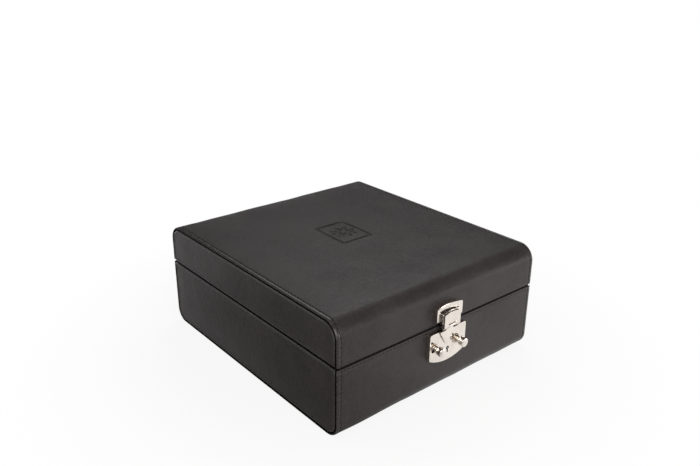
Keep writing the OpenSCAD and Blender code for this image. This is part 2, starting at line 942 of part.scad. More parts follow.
module mirror_frame() {
    hole_x = lined_x - mirror_border;
    hole_y = lined_y - mirror_border;
    seat_x = hole_x + mirror_lip_w + mirror_clear;
    seat_y = hole_y + mirror_lip_w + mirror_clear;
    color("lightslategray")
        difference() {
            ring_frame([lined_x, lined_y], [hole_x, hole_y], mirror_frame_z, ceiling_z);
            block([-seat_x, -seat_y, mirror_z], [seat_x, seat_y, ceiling_z + over]);
        }
}

module mirror_glass() {
    x = lined_x - mirror_border + mirror_lip_w;
    y = lined_y - mirror_border + mirror_lip_w;
    color("aliceblue")
        block([-x, -y, mirror_z], [x, y, ceiling_z]);
}

// ---- Hasp on the lid ----

// The cap's outline in (X, Z), moved inwards by an inset along its sides and its arch.
module cap_outline(inset) {
    translate([0, parting_h + cap_bottom])
        arched_plate(cap_w - 2 * inset, cap_top - cap_bottom - inset, cap_arch, cap_corner_r);
}

module hasp_plate() {
    color("gainsboro")
        difference() {
            on_front(0, hasp_out)
                translate([0, hasp_z])
                    arched_plate(hasp_w, hasp_h, hasp_arch, hasp_corner_r);
            on_front(-over, hasp_out + over) {
                cap_outline(-cap_gap);
                translate([-cap_w / 2 - cap_gap, hasp_z - over])
                    square([cap_w + 2 * cap_gap, 2 * over]);
            }
            for (s = [LEFT, RIGHT])
                front_bar(s * hasp_rivet_x, hasp_rivet_z, rivet_r + rivet_clear, -over, hasp_out - lock_wall);
        }
}

module hasp_cap() {
    ear_in = tongue_knuckle_w / 2 + lock_clear;
    ear_w = cap_w / 2 - cap_step - ear_in;
    color("gainsboro")
        difference() {
            union() {
                on_front(0, cap_out - cap_layer)
                    cap_outline(0);
                on_front(0, cap_out)
                    cap_outline(cap_step);
                for (s = [LEFT, RIGHT])
                    translate([s < 0 ? -ear_in - ear_w : ear_in, front_y - hasp_pin_out, hasp_pin_z]) {
                        rotate([0, 90, 0])
                            cylinder(h = ear_w, r = ear_r);
                        translate([0, -ear_r, 0])
                            cube([ear_w, ear_r, parting_h + cap_bottom + over - hasp_pin_z]);
                    }
            }
            hasp_bar(-cap_w, cap_w, hasp_pin_r + pin_clear);
            for (s = [LEFT, RIGHT])
                front_bar(s * cap_rivet_x, hasp_rivet_z, rivet_r + rivet_clear, -over, hasp_out - lock_wall);
        }
}

// A round bar along X on the hasp's pin.
module hasp_bar(x0, x1, r) {
    translate([x0, front_y - hasp_pin_out, hasp_pin_z])
        rotate([0, 90, 0])
            cylinder(h = x1 - x0, r = r);
}

module hasp_rivets() {
    color("silver")
        for (x = [hasp_rivet_x, cap_rivet_x])
            for (s = [LEFT, RIGHT])
                rivet(s * x, hasp_rivet_z, hasp_out - lock_wall);
}

module hasp_pin() {
    half = cap_w / 2 - cap_step;
    color("silver")
        hasp_bar(-half, half, hasp_pin_r);
}

// Outline of the tongue: neck, square shoulders, slanting sides and a round tip.
module tongue_outline() {
    tip_centre = tip_z + tongue_tip_r;
    corner = [tongue_w / 2, shoulder_z - tongue_side_h];
    reach = norm([corner.x, corner.y - tip_centre]);
    turn = atan2(corner.y - tip_centre, corner.x) - acos(tongue_tip_r / reach);
    tangent = [tongue_tip_r * cos(turn), tip_centre + tongue_tip_r * sin(turn)];
    translate([-tongue_knuckle_w / 2, shoulder_z - 1])
        square([tongue_knuckle_w, hasp_pin_z - shoulder_z + 1]);
    polygon([[-corner.x, corner.y], [-tangent.x, tangent.y], [tangent.x, tangent.y], [corner.x, corner.y],
             [tongue_w / 2, shoulder_z], [-tongue_w / 2, shoulder_z]]);
    translate([0, tip_centre])
        circle(tongue_tip_r);
}

module hasp_tongue() {
    color("gainsboro")
        difference() {
            union() {
                on_front(tongue_in, tongue_in + tongue_t)
                    tongue_outline();
                hasp_bar(-tongue_knuckle_w / 2, tongue_knuckle_w / 2, hasp_knuckle_r);
                on_front(tongue_in - catch_depth, tongue_in + catch_lap)
                    translate([-catch_w / 2, catch_z])
                        square([catch_w, catch_h]);
            }
            hasp_bar(-tongue_w, tongue_w, hasp_pin_r + pin_clear);
        }
}

bottom_felt();
base_bottom_board();
base_front_board();
base_back_board();
base_side_board(LEFT);  // base_left_board
base_side_board(RIGHT);  // base_right_board
base_cover();
base_panel(LEFT);  // base_left_panel
base_panel(RIGHT);  // base_right_panel
base_rim();
base_wall_lining();
base_floor_lining();
ring_bed();
ring_rolls();
front_divider();
middle_divider();
small_dividers();
back_divider();
hinge_base_leaf(LEFT);  // left_hinge_base_leaf
hinge_base_leaf(RIGHT);  // right_hinge_base_leaf
hinge_pin(LEFT);  // left_hinge_pin
hinge_pin(RIGHT);  // right_hinge_pin
base_hinge_screws();
lock_back_plate();
lock_cover();
lock_rivets();
key_post();
bolt_spring(LEFT);  // left_bolt_spring
bolt_spring(RIGHT);  // right_bolt_spring
bolt(LEFT);  // left_bolt
bolt(RIGHT);  // right_bolt
knob(LEFT);  // left_knob
knob(RIGHT);  // right_knob
lid_top_board();
lid_front_board();
lid_back_board();
lid_side_board(LEFT);  // lid_left_board
lid_side_board(RIGHT);  // lid_right_board
lid_foam();
lid_cover();
lid_panel(LEFT);  // lid_left_panel
lid_panel(RIGHT);  // lid_right_panel
lid_rim();
lid_wall_lining();
mirror_frame();
mirror_glass();  // mirror
hinge_lid_leaf(LEFT);  // left_hinge_lid_leaf
hinge_lid_leaf(RIGHT);  // right_hinge_lid_leaf
lid_hinge_screws();
hasp_plate();
hasp_cap();
hasp_rivets();
hasp_pin();
hasp_tongue();
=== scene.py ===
"""Dresses a leather-covered jewelry box: coverings, stitching, linings, mirror, metalwork and stage."""

import json
import math

import bmesh
import bpy
from bpy.props import FloatProperty, FloatVectorProperty, IntProperty, PointerProperty
from mathutils import Euler, Matrix, Vector


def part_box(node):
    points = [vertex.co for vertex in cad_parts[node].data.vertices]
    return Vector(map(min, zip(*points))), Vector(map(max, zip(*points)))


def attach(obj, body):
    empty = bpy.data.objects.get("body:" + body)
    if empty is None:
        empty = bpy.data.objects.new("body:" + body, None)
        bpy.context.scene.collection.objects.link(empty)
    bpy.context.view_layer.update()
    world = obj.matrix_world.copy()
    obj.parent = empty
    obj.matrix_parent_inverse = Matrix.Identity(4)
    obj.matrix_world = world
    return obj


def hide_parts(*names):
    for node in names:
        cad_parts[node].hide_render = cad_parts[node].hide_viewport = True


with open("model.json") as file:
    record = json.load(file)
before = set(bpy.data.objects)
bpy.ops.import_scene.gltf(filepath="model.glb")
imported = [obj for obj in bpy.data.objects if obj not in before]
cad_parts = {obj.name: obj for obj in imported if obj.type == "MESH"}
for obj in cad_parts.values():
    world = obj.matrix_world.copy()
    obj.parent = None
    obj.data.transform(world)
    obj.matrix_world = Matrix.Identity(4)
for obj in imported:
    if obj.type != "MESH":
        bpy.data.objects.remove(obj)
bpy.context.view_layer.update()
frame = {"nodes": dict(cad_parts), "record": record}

bl_info = {
    "name": "Jewelry Box Dresser",
    "version": (1, 0, 0),
    "blender": (4, 5, 0),
    "location": "View3D > Sidebar > Jewelry Box",
    "description": "Leather, velvet and nickel for a hinged jewelry box",
    "category": "Object",
}

MM = 0.001
NEAR = 0.02 * MM
LEFT, RIGHT = -1, 1
FRONT, BACK = -1, 1
X, Y, Z = range(3)

# the two shells of leather, and how their ends meet the side panels
BASE_LOW, BASE_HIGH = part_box("base_cover")
LID_LOW, LID_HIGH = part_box("lid_cover")
BASE_CORNER_R = 11 * MM
LID_CORNER_R = 13 * MM
SHEET_T = 0.8 * MM
TURNED_EDGE_R = 0.28 * MM
PANEL_GAP = 1.05 * MM
GROOVE = 1.15 * MM
LOCK_HALF_W, HASP_HALF_W = 25 * MM, 16 * MM

# a side panel's insets from its outline inwards: width and depth of each ring, in mm
PANEL_RINGS = ((0.3, 0), (0.8, 0), (0.5, 0), (0.4, -0.06), (0.5, -0.26), (0.9, 0.14), (1.8, 0.04))
# the rounding of its rim: from and to this far inside the outline, and how far back, in mm
PANEL_ROUNDING = ((0.7, 1.3, 0.12), (0.15, 0.7, 0.62), (-0.1, 0.15, 1.15))
# the padding of its field: from this far inside the outline, and the rise there, in mm
PANEL_PADDING = ((7, 0.16), (11, 0.14), (16, 0.1))

# the motif pressed into the lid: a frame round a rosette
MOTIF_MIDDLE = Vector((0, 5 * MM))
MOTIF_HALF = Vector((14.2 * MM, 18.6 * MM))
MOTIF_CORNER_R = 2.5 * MM
MOTIF_GRID = Vector((18 * MM, 23 * MM))
MOTIF_CUTS = 11
MOTIF_PRESS = 0.31 * MM
MOTIF_SLOPE = (0.25, 0.5, 0.75)

# sewing: a stitch's slant and thickness, the first one's distance from the parting, and half of the
# gap that the front row leaves for the lock
STITCH_SLANT = Euler((0, 0, math.radians(7))).to_matrix().to_4x4()
STITCH_T = 0.6 * MM
STITCH_MARGIN = 1.8 * MM
LOCK_ROW_GAP = 19.5 * MM

FELT_CORNER_R = 4 * MM
DIVIDER_TOP_R = 1.96 * MM
ROLLS = 5
MIRROR_LIP = 3 * MM
MIRROR_SEAT = 0.2 * MM
CAD_WELD = 0.02 * MM

# the widest angles, in degrees, that still shade as one surface
LEATHER_ANGLE, RIM_ANGLE, ROUND_ANGLE, METAL_ANGLE = 50, 40, 60, 32

# the range that most values of a noise lie in
NOISE_LOW, NOISE_HIGH = 0.3, 0.7

FLOOR_SIZE = 8

# the lamps: place, target, size and colour
WARM, WHITE = (1.0, 0.985, 0.97), (1, 1, 1)
LAMPS = {
    "key": ((-0.4, -1.25, 0.65), (0, 0, 0.04), (1.2, 0.8), WARM),
    "low": ((0.9, -0.9, 0.12), (0, -0.05, 0.04), (0.8, 0.2), WARM),
    "rear": ((0.36, 0.72, 0.75), (0, 0, 0.06), (0.4, 0.35), WHITE),
    "high": ((0.6, 0.44, 0.88), (0, -0.05, 0.09), (0.45, 0.4), WHITE),
    "side": ((-0.7, 0.78, 0.6), (0, 0, 0.06), (0.4, 0.4), WHITE),
    "above": ((-0.2, -0.18, 1.19), (0, 0, 0.06), (0.25, 0.25), WHITE),
}

# the camera: its place in mm, its turn in degrees and its lens in widths of one pixel
CAMERA_PLACE = Vector((-351.6, -423.6, 315.0))
CAMERA_AZIMUTH, CAMERA_ELEVATION, CAMERA_ROLL = -39.961, 22.175, 0.454
CAMERA_LENS = 732.74
SENSOR_W = 36


# ---- Settings -------------------------------------------------------------------------------


def length(name, description, default, low, high):
    """A length. Its numbers are in millimetres here, and in the scene's unit in the panel."""
    return FloatProperty(name=name, description=description, default=default * MM,
                         min=low * MM, max=high * MM, unit="LENGTH")


def tint(name, description, default):
    return FloatVectorProperty(name=name, description=description, default=default,
                               size=3, min=0, max=1, subtype="COLOR")


def number(name, description, default, low, high):
    return FloatProperty(name=name, description=description, default=default, min=low, max=high)


def power(name, description, default):
    return FloatProperty(name=name, description=description, default=default,
                         min=0, max=60, unit="POWER")


class LeatherSettings(bpy.types.PropertyGroup):
    colour: tint("Leather colour", "Colour of the dyed leather", (0.034, 0.0292, 0.0288))
    roughness: number("Leather roughness", "Lower is shinier", 0.38, 0.1, 1)
    grain: length("Grain size", "Width of one pebble of the grain", 0.7, 0.2, 3)
    bead: length("Bead width", "Distance from a shell's end to the crease along it", 3.4, 2.5, 6)
    crease: length("Crease depth", "Depth of the stitched crease", 0.42, 0.1, 0.6)
    stitch_pitch: length("Stitch pitch", "Distance from one stitch to the next", 3.4, 1.5, 6)
    stitch_length: length("Stitch length", "Length of one stitch", 2.4, 1, 5)
    stitch_drop: length("Stitch row", "Distance of the base's row of stitches below its rim", 2.5, 2, 6)
    parting: length("Parting", "How far the outer leather's edge stays behind the rim", 0.6, 0.2, 0.8)
    padding: length("Lid padding", "Rise of the lid's middle above its edges", 0.95, 0, 2)


class LiningSettings(bpy.types.PropertyGroup):
    colour: tint("Velvet colour", "Colour of the velvet lining", (0.235, 0.21, 0.185))
    puff: length("Puff", "Unevenness of the velvet's stuffing", 0.35, 0, 1)


class MetalSettings(bpy.types.PropertyGroup):
    colour: tint("Nickel colour", "Colour of the polished nickel", (0.81, 0.745, 0.68))
    roughness: number("Polish", "Roughness of the polished nickel", 0.16, 0.02, 0.6)
    edge: length("Edge radius", "Radius of the metal parts' softened edges", 0.22, 0.05, 0.5)


class StageSettings(bpy.types.PropertyGroup):
    floor: tint("Floor colour", "Colour of the pale floor", (0.87, 0.87, 0.87))
    ambient: number("Surrounding light", "Strength of the light from all round", 0.27, 0, 2)
    ceiling: number("Ceiling", "Brightness of the room above the white walls, as metal shows it", 0.06, 0, 1)
    key: power("Key light", "Power of the large light in front", 15)
    low: power("Low light", "Power of the low light at the right", 2)
    rear: power("Rear light", "Power of the light behind the box", 0.8)
    high: power("High light", "Power of the light above the right side", 2.2)
    side: power("Side light", "Power of the light above the left side", 0.9)
    above: power("Top light", "Power of the small light straight above", 0.9)
    frame_w: IntProperty(
        name="Picture width", description="Width of the picture that the camera is set for",
        default=700, min=64, subtype="PIXEL")


# ---- Workbench ------------------------------------------------------------------------------


def only(obj):
    """Select one object, make it active and deselect all others."""
    bpy.ops.object.select_all(action="DESELECT")
    obj.select_set(True)
    bpy.context.view_layer.objects.active = obj
    return obj


class Bench:
    """Edit mode on one piece. Its parts are picked by their place, direction or normal."""

    def __init__(self, piece):
        self.mesh = only(piece).data

    def __enter__(self):
        bpy.ops.object.mode_set(mode="EDIT")
        return self

    def __exit__(self, *fault):
        bpy.ops.object.mode_set(mode="OBJECT")

    def _pick(self, mode, parts, test):
        modes = ("VERT", "EDGE", "FACE")
        bpy.ops.mesh.select_all(action="DESELECT")
        bpy.context.tool_settings.mesh_select_mode = tuple(mode == m for m in modes)
        shape = bmesh.from_edit_mesh(self.mesh)
        shape.select_mode = {mode}
        found = [part for part in parts(shape) if test(part)]
        if not found:
            raise ValueError(f"{self.mesh.name}: no {mode.lower()} passes the test")
        for part in found:
            part.select_set(True)
        shape.select_flush_mode()
        bmesh.update_edit_mesh(self.mesh, loop_triangles=False, destructive=False)

    def points(self, test):
        self._pick("VERT", lambda shape: shape.verts, lambda v: test(v.co))

    def edges(self, test):
        def passes(e):
            a, b = (v.co for v in e.verts)
            return test((a + b) / 2, (b - a).normalized())
        self._pick("EDGE", lambda shape: shape.edges, passes)

    def faces(self, test):
        self._pick("FACE", lambda shape: shape.faces,
                   lambda f: test(f.calc_center_median(), f.normal))

    def cut(self, axis, places):
        """Cut the whole piece across an axis at each place."""
        normal = Vector(tuple(float(i == axis) for i in range(3)))
        for place in places:
            bpy.ops.mesh.select_all(action="SELECT")
            bpy.ops.mesh.bisect(plane_co=normal * place, plane_no=normal, threshold=1e-6)

    def weld(self, gap):
        """Join points that lie closer than a gap, and close the faces that have no width."""
        bpy.ops.mesh.select_all(action="SELECT")
        bpy.ops.mesh.remove_doubles(threshold=gap)
        bpy.ops.mesh.dissolve_degenerate(threshold=gap / 2)

    def round(self, test, r, segments, clamp=False):
        self.edges(test)
        bpy.ops.mesh.bevel(offset=r, segments=segments, affect="EDGES", clamp_overlap=clamp)

    def inset(self, test, *rings):
        """Inset some faces by rings, each with its width and depth in millimetres."""
        self.faces(test)
        for width, depth in rings:
            bpy.ops.mesh.inset(thickness=width * MM, depth=depth * MM)

    def swell(self, test, out):
        """Move some points outwards along their normals."""
        self.points(test)
        bpy.ops.transform.shrink_fatten(value=out)

    def move(self, test, *by):
        self.points(test)
        bpy.ops.transform.translate(value=by)


def block(name, low, high):
    """A box between two corners, with its place in its mesh."""
    low, high = Vector(low), Vector(high)
    bpy.ops.object.select_all(action="DESELECT")
    bpy.ops.mesh.primitive_cube_add(size=1, location=(low + high) / 2, scale=high - low)
    return start(name)


def bar(name, low, high, r, sides):
    """A round bar between two points."""
    low, high = Vector(low), Vector(high)
    bpy.ops.object.select_all(action="DESELECT")
    bpy.ops.mesh.primitive_cylinder_add(
        vertices=sides, radius=r, depth=(high - low).length, location=(low + high) / 2,
        rotation=(high - low).to_track_quat("Z", "Y").to_euler())
    return start(name)


def start(name):
    """Name the active object and apply its place, turn and scale to its mesh."""
    piece = bpy.context.object
    piece.name = piece.data.name = name
    bpy.ops.object.transform_apply(location=True, rotation=True, scale=True)
    return piece


def modify(piece, kind, **settings):
    """Add a modifier with its settings and apply it."""
    only(piece)
    modifier = piece.modifiers.new(kind.lower(), kind)
    for key, value in settings.items():
        setattr(modifier, key, value)
    bpy.ops.object.modifier_apply(modifier=modifier.name)


def carve(piece, *cutters):
    """Take the cutters' shapes out of a piece."""
    for cutter in cutters:
        modify(piece, "BOOLEAN", operation="DIFFERENCE", solver="EXACT", object=cutter)
        bpy.data.objects.remove(cutter)


def round_edges(piece, width, segments, degrees):
    """Round all edges that are sharper than an angle."""
    modify(piece, "BEVEL", width=width, segments=segments, limit_method="ANGLE",
           angle_limit=math.radians(degrees), use_clamp_overlap=True)


def smooth(piece, degrees):
    only(piece)
    bpy.ops.object.shade_smooth_by_angle(angle=math.radians(degrees))


def lift(piece, height, share, **settings):
    """Raise a piece's points. Share gives how much of the height a point takes, from 0 to 1."""
    group = piece.vertex_groups.new(name="soft")
    for v in piece.data.vertices:
        group.add([v.index], share(v.co), "REPLACE")
    modify(piece, "DISPLACE", strength=height, vertex_group="soft", **settings)
    piece.vertex_groups.clear()


def ripple(piece, height, size, share, depth=1):
    """Soft unevenness, where share allows it."""
    clouds = bpy.data.textures.new("clouds", "CLOUDS")
    clouds.noise_scale = size
    clouds.noise_depth = depth
    lift(piece, height, share, texture=clouds, texture_coords="LOCAL", mid_level=0.5)
    bpy.data.textures.remove(clouds)


def ramp(value, low, high):
    """0 below low, 1 above high and smooth between."""
    t = min(1.0, max(0.0, (value - low) / (high - low)))
    return t * t * (3 - 2 * t)


def steps(low, high, size):
    """Even places between two ends, without the ends."""
    count = max(1, round((high - low) / size))
    return [low + (high - low) * i / count for i in range(1, count)]


def twin(pattern):
    """A copy of a piece with its own mesh."""
    one = pattern.copy()
    one.data = pattern.data.copy()
    bpy.context.collection.objects.link(one)
    return one


def join(name, pieces):
    """Make one piece of several."""
    only(pieces[0])
    for piece in pieces:
        piece.select_set(True)
    bpy.ops.object.join()
    return start(name)


def copies(name, pattern, places):
    """One piece made of copies of a pattern at the given matrices."""
    made = []
    for place in places:
        one = twin(pattern)
        one.matrix_world = place
        made.append(one)
    bpy.data.objects.remove(pattern)
    return join(name, made)


def paint(piece, key, test):
    """Another finish on some faces of a piece, picked by place and normal."""
    only(piece)
    bpy.ops.object.material_slot_add()
    piece.material_slots[-1].material = finish(key)
    with Bench(piece) as bench:
        bench.faces(test)
        bpy.ops.object.material_slot_assign()


def settle(piece, body, slot, *nodes, look=None):
    """Give a finished piece its finish, hide the CAD nodes it stands for and put it on its body. The finish
    goes by the slot's name, or by look where one is given.
    """
    piece.data.materials.clear()
    piece.data.materials.append(finish(look or slot))
    if nodes:
        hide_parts(*nodes)
    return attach(piece, body)


# ---- Finishes -------------------------------------------------------------------------------


class Wire:
    """A socket of a finish. Sums on wires and numbers become Math nodes."""

    def __init__(self, finish, socket):
        self.finish, self.socket = finish, socket

    def _sum(self, how, a, b):
        return self.finish.add("Math", {"operation": how}, (a, b))

    def __add__(self, other):
        return self._sum("ADD", self, other)

    def __sub__(self, other):
        return self._sum("SUBTRACT", self, other)

    def __rsub__(self, other):
        return self._sum("SUBTRACT", other, self)

    def __mul__(self, other):
        return self._sum("MULTIPLY", self, other)

    __radd__ = __add__
    __rmul__ = __mul__

    def fit(self, low, high, to_low=0.0, to_high=1.0):
        """The value mapped smoothly from one range to another, and held inside it."""
        return self.finish.add("MapRange", {"interpolation_type": "SMOOTHSTEP"},
                               (self, low, high, to_low, to_high))

    def spread(self, to_low=0.0, to_high=1.0):
        """A noise's usual range mapped to another range."""
        return self.fit(NOISE_LOW, NOISE_HIGH, to_low, to_high)


class Finish:
    """A material, or the world, built from nodes."""

    def __init__(self, owner):
        owner.use_nodes = True
        self.owner, self.tree = owner, owner.node_tree
        self.tree.nodes.clear()

    def add(self, kind, settings=None, values=(), out=0):
        """One node. Its settings are set first, then its sockets by place or by name. Returns a wire."""
        node = self.tree.nodes.new("ShaderNode" + kind)
        for key, value in (settings or {}).items():
            setattr(node, key, value)
        pairs = values.items() if isinstance(values, dict) else enumerate(values)
        for key, value in pairs:
            if isinstance(value, Wire):
                self.tree.links.new(value.socket, node.inputs[key])
            elif value is not None:
                node.inputs[key].default_value = value
        return Wire(self, node.outputs[out]) if node.outputs else None

    def place(self, *scale):
        """The point on the piece, in metres, times a scale."""
        at = self.add("TexCoord", out="Object")
        return self.add("VectorMath", {"operation": "MULTIPLY"}, (at, scale)) if scale else at

    def noise(self, at, size, detail=2.0, rough=0.5, warp=0.0):
        return self.add("TexNoise", {}, {"Vector": at, "Scale": 1 / size, "Detail": detail,
                                         "Roughness": rough, "Distortion": warp})

    def cells(self, at, size, feature="F1", smoothness=None):
        return self.add("TexVoronoi", {"feature": feature},
                        {"Vector": at, "Scale": 1 / size, "Smoothness": smoothness})

    def blend(self, share, a, b):
        """A colour between two colours."""
        return self.add("Mix", {"data_type": "RGBA"}, {0: share, 6: (*a, 1), 7: (*b, 1)}, out=2)

    def relief(self, height, depth, strength, under=None):
        """Bump of a real depth in metres, over another bump where one is given."""
        return self.add("Bump", {}, {"Strength": strength, "Distance": depth, "Height": height,
                                     "Normal": under})

    def coat(self, **values):
        """Close the material with one Principled shader."""
        self.end(self.add("BsdfPrincipled", {},
                          {key.replace("_", " "): value for key, value in values.items()}))
        return self.owner

    def end(self, shader):
        kind = "OutputWorld" if isinstance(self.owner, bpy.types.World) else "OutputMaterial"
        self.add(kind, {}, (shader,))


def new_finish(name):
    return Finish(bpy.data.materials.new(name))


def toned(colour, factor):
    return tuple(min(1, part * factor) for part in colour)


def burnished_edge():
    return black_leather("burnished_edge", rubbed=0.1, gloss=0.38, depth=0.4)


def black_leather(name="black_leather", rubbed=0.0, gloss=0.19, depth=1.0):
    """Dyed leather with a fine pebble. Rubbed takes away roughness, and depth scales the relief."""
    look = bpy.context.scene.box_leather
    f = new_finish(name)
    at = f.place()
    patches = f.noise(at, 42 * MM, 3)
    mottle = f.noise(at, 3.2 * MM, 3, 0.6)
    drift = f.add("TexNoise", {}, {"Vector": at, "Scale": 1 / (1.6 * MM), "Detail": 1.0}, out="Color")
    drift = f.add("VectorMath", {"operation": "SCALE"}, {0: drift, "Scale": 0.35 * MM})
    pebble = f.cells(f.add("VectorMath", {"operation": "ADD"}, (at, drift)), look.grain, "SMOOTH_F1", 0.35)
    fine = f.noise(at, 0.22 * MM, 2, 0.6)
    wrinkle = f.noise(f.place(0.6, 1.0, 1.0), 4.5 * MM, 4, 0.7, 1.0)
    hue = f.blend(patches.spread() * 0.45 + mottle.spread() * 0.35 + pebble * 0.3,
                  toned(look.colour, 0.72), toned(look.colour, 1.32))
    # the ends of the shells are rubbed by hands
    across = f.add("Math", {"operation": "ABSOLUTE"}, (f.add("SeparateXYZ", {}, (at,), out="X"),))
    rub = across.fit(94.6 * MM, 98.5 * MM) * mottle.spread()
    rough = (look.roughness - rubbed + (patches - 0.5) * 0.1 + (mottle - 0.5) * 0.26
             + pebble * 0.05 - rub * 0.07)
    grain = f.relief(1 - pebble, 0.08 * MM * depth, 0.85)
    grain = f.relief(fine, 0.02 * MM, 0.5, grain)
    grain = f.relief(wrinkle, 0.32 * MM * depth, 0.85, grain)
    grain = f.relief(patches, 1.4 * MM, 0.6, grain)
    return f.coat(Base_Color=hue, Roughness=rough, Normal=grain, Specular_IOR_Level=gloss)


# Black edge paint, as cut leather edges have. On the walls of the grooves and the parting it is also painted
# shade.
def edge_paint():
    f = new_finish("edge_paint")
    dabs = f.noise(f.place(), 1.4 * MM, 3)
    hue = f.blend(dabs, (0.0015, 0.0014, 0.0014), (0.005, 0.0045, 0.0045))
    return f.coat(Base_Color=hue, Roughness=dabs.spread(0.55, 0.75),
                  Normal=f.relief(dabs, 0.05 * MM, 0.5), Specular_IOR_Level=0.12)


def waxed_thread():
    f = new_finish("waxed_thread")
    at = f.place()
    strand = f.add("TexWave", {"wave_type": "BANDS", "bands_direction": "DIAGONAL"},
                   {"Vector": at, "Scale": 1 / (0.9 * MM), "Distortion": 0.6})
    fuzz = f.noise(at, 0.3 * MM, 2)
    hue = f.blend(strand * 0.6 + fuzz * 0.4, (0.001, 0.001, 0.001), (0.007, 0.0066, 0.0064))
    return f.coat(Base_Color=hue, Roughness=fuzz.spread(0.5, 0.7),
                  Normal=f.relief(strand, 0.06 * MM, 0.7), Specular_IOR_Level=0.2)


def velvet():
    look = bpy.context.scene.box_lining
    f = new_finish("velvet")
    at = f.place()
    stroke = f.noise(f.place(1.0, 0.45, 1.0), 13 * MM, 3, 0.6, 0.5)
    pile = f.noise(at, 0.35 * MM, 2, 0.7)
    crush = f.noise(at, 4 * MM, 3, 0.55)
    hue = f.blend(stroke.fit(0.32, 0.68) * 0.55 + crush * 0.25 + pile * 0.3,
                  toned(look.colour, 0.62), toned(look.colour, 1.28))
    nap = f.relief(pile, 0.12 * MM, 0.6, f.relief(crush, 0.3 * MM, 0.35))
    return f.coat(Base_Color=hue, Roughness=pile.spread(0.82, 0.98), Normal=nap,
                  Sheen_Weight=0.55, Sheen_Roughness=0.4, Specular_IOR_Level=0.2)


def pressed_felt():
    f = new_finish("pressed_felt")
    fibre = f.noise(f.place(1.0, 3.0, 1.0), 1.1 * MM, 4, 0.7, 1.5)
    cloud = f.noise(f.place(), 9 * MM, 3)
    hue = f.blend(fibre * 0.6 + cloud * 0.4, (0.012, 0.012, 0.013), (0.05, 0.049, 0.05))
    return f.coat(Base_Color=hue, Roughness=fibre.spread(0.85, 1.0),
                  Normal=f.relief(fibre, 0.2 * MM, 0.8), Sheen_Weight=0.3, Specular_IOR_Level=0.2)


def polished_nickel():
    """Nickel with a faint haze and fine scratches along and across."""
    look = bpy.context.scene.box_metal
    f = new_finish("polished_nickel")
    haze = f.noise(f.place(), 7 * MM, 3)
    hair = f.noise(f.place(1.0, 1.0, 14.0), 1.5 * MM, 3, 0.7)
    cross = f.noise(f.place(11.0, 1.0, 1.6), 1.9 * MM, 3, 0.7)
    hue = f.blend(haze.spread(), toned(look.colour, 0.93), toned(look.colour, 1.05))
    rough = (look.roughness + (haze - 0.5) * 0.1 + hair.fit(0.58, 0.72) * 0.08
             + cross.fit(0.6, 0.72) * 0.06)
    skin = f.relief(hair, 0.006 * MM, 0.5, f.relief(haze, 0.03 * MM, 0.5))
    return f.coat(Base_Color=hue, Metallic=1.0, Roughness=rough, Normal=skin)


def plain_steel():
    f = new_finish("plain_steel")
    haze = f.noise(f.place(), 4 * MM, 3)
    brushed = f.noise(f.place(1.0, 1.0, 20.0), 1.2 * MM, 3, 0.7)
    hue = f.blend(haze * 0.6 + brushed * 0.4, (0.4, 0.4, 0.41), (0.62, 0.615, 0.6))
    return f.coat(Base_Color=hue, Metallic=1.0, Roughness=haze.spread(0.26, 0.42) + brushed * 0.06,
                  Normal=f.relief(brushed, 0.01 * MM, 0.6))


def silvered_glass():
    """A mirror with faint smudges and grains of dust."""
    f = new_finish("silvered_glass")
    at = f.place()
    smudge = f.noise(at, 26 * MM, 4, 0.6, 1.2)
    dust = f.cells(at, 3.1 * MM)
    hue = f.blend(smudge, (0.86, 0.875, 0.87), (0.93, 0.94, 0.935))
    rough = smudge.fit(0.5, 0.75, 0.012, 0.05) + dust.fit(0.02, 0.1, 0.05, 0.0)
    return f.coat(Base_Color=hue, Metallic=1.0, Roughness=rough)


def poplar_board():
    f = new_finish("poplar_board")
    rings = f.add("TexWave", {"wave_type": "RINGS", "rings_direction": "Y"},
                  {"Vector": f.place(1.0, 0.1, 1.0), "Scale": 60.0, "Distortion": 5.0, "Detail": 3.0,
                   "Detail Scale": 1.5})
    pores = f.noise(f.place(1.0, 0.06, 1.0), 0.6 * MM, 3, 0.7)
    hue = f.blend(rings * 0.6 + pores * 0.4, (0.33, 0.21, 0.115), (0.56, 0.4, 0.245))
    return f.coat(Base_Color=hue, Roughness=pores.spread(0.5, 0.75),
                  Normal=f.relief(pores, 0.1 * MM, 0.5))


def open_foam():
    f = new_finish("open_foam")
    at = f.place()
    holes = f.cells(at, 0.9 * MM)
    cloud = f.noise(at, 20 * MM, 2)
    hue = f.blend(holes * 0.7 + cloud * 0.3, (0.36, 0.31, 0.2), (0.7, 0.63, 0.46))
    return f.coat(Base_Color=hue, Roughness=holes.fit(0.0, 0.6, 0.8, 1.0),
                  Normal=f.relief(holes, 0.4 * MM, 0.9))


FINISHES = {
    "leather": black_leather, "burnished": burnished_edge, "edge paint and shade": edge_paint,
    "thread": waxed_thread, "velvet": velvet, "felt": pressed_felt, "nickel": polished_nickel,
    "steel": plain_steel, "mirror": silvered_glass, "board": poplar_board, "foam": open_foam,
}
made_finishes = {}


def finish(name):
    """A finish by its plain name, made the first time that it is asked for."""
    if name not in made_finishes:
        made_finishes[name] = FINISHES[name]()
    return made_finishes[name]


# ---- Leather --------------------------------------------------------------------------------


def hinge_notches():
    """Room for the rear hinges' leaves in the leather, as cutters."""
    gap = 0.05 * MM
    cutters = []
    for side in ("left", "right"):
        low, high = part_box(f"{side}_hinge_base_leaf")
        cutters.append(block("notch", (low.x - gap, low.y - 2 * gap, BASE_HIGH.z - MM - gap),
                             (high.x + gap, high.y + MM, LID_LOW.z + MM + gap)))
    return cutters


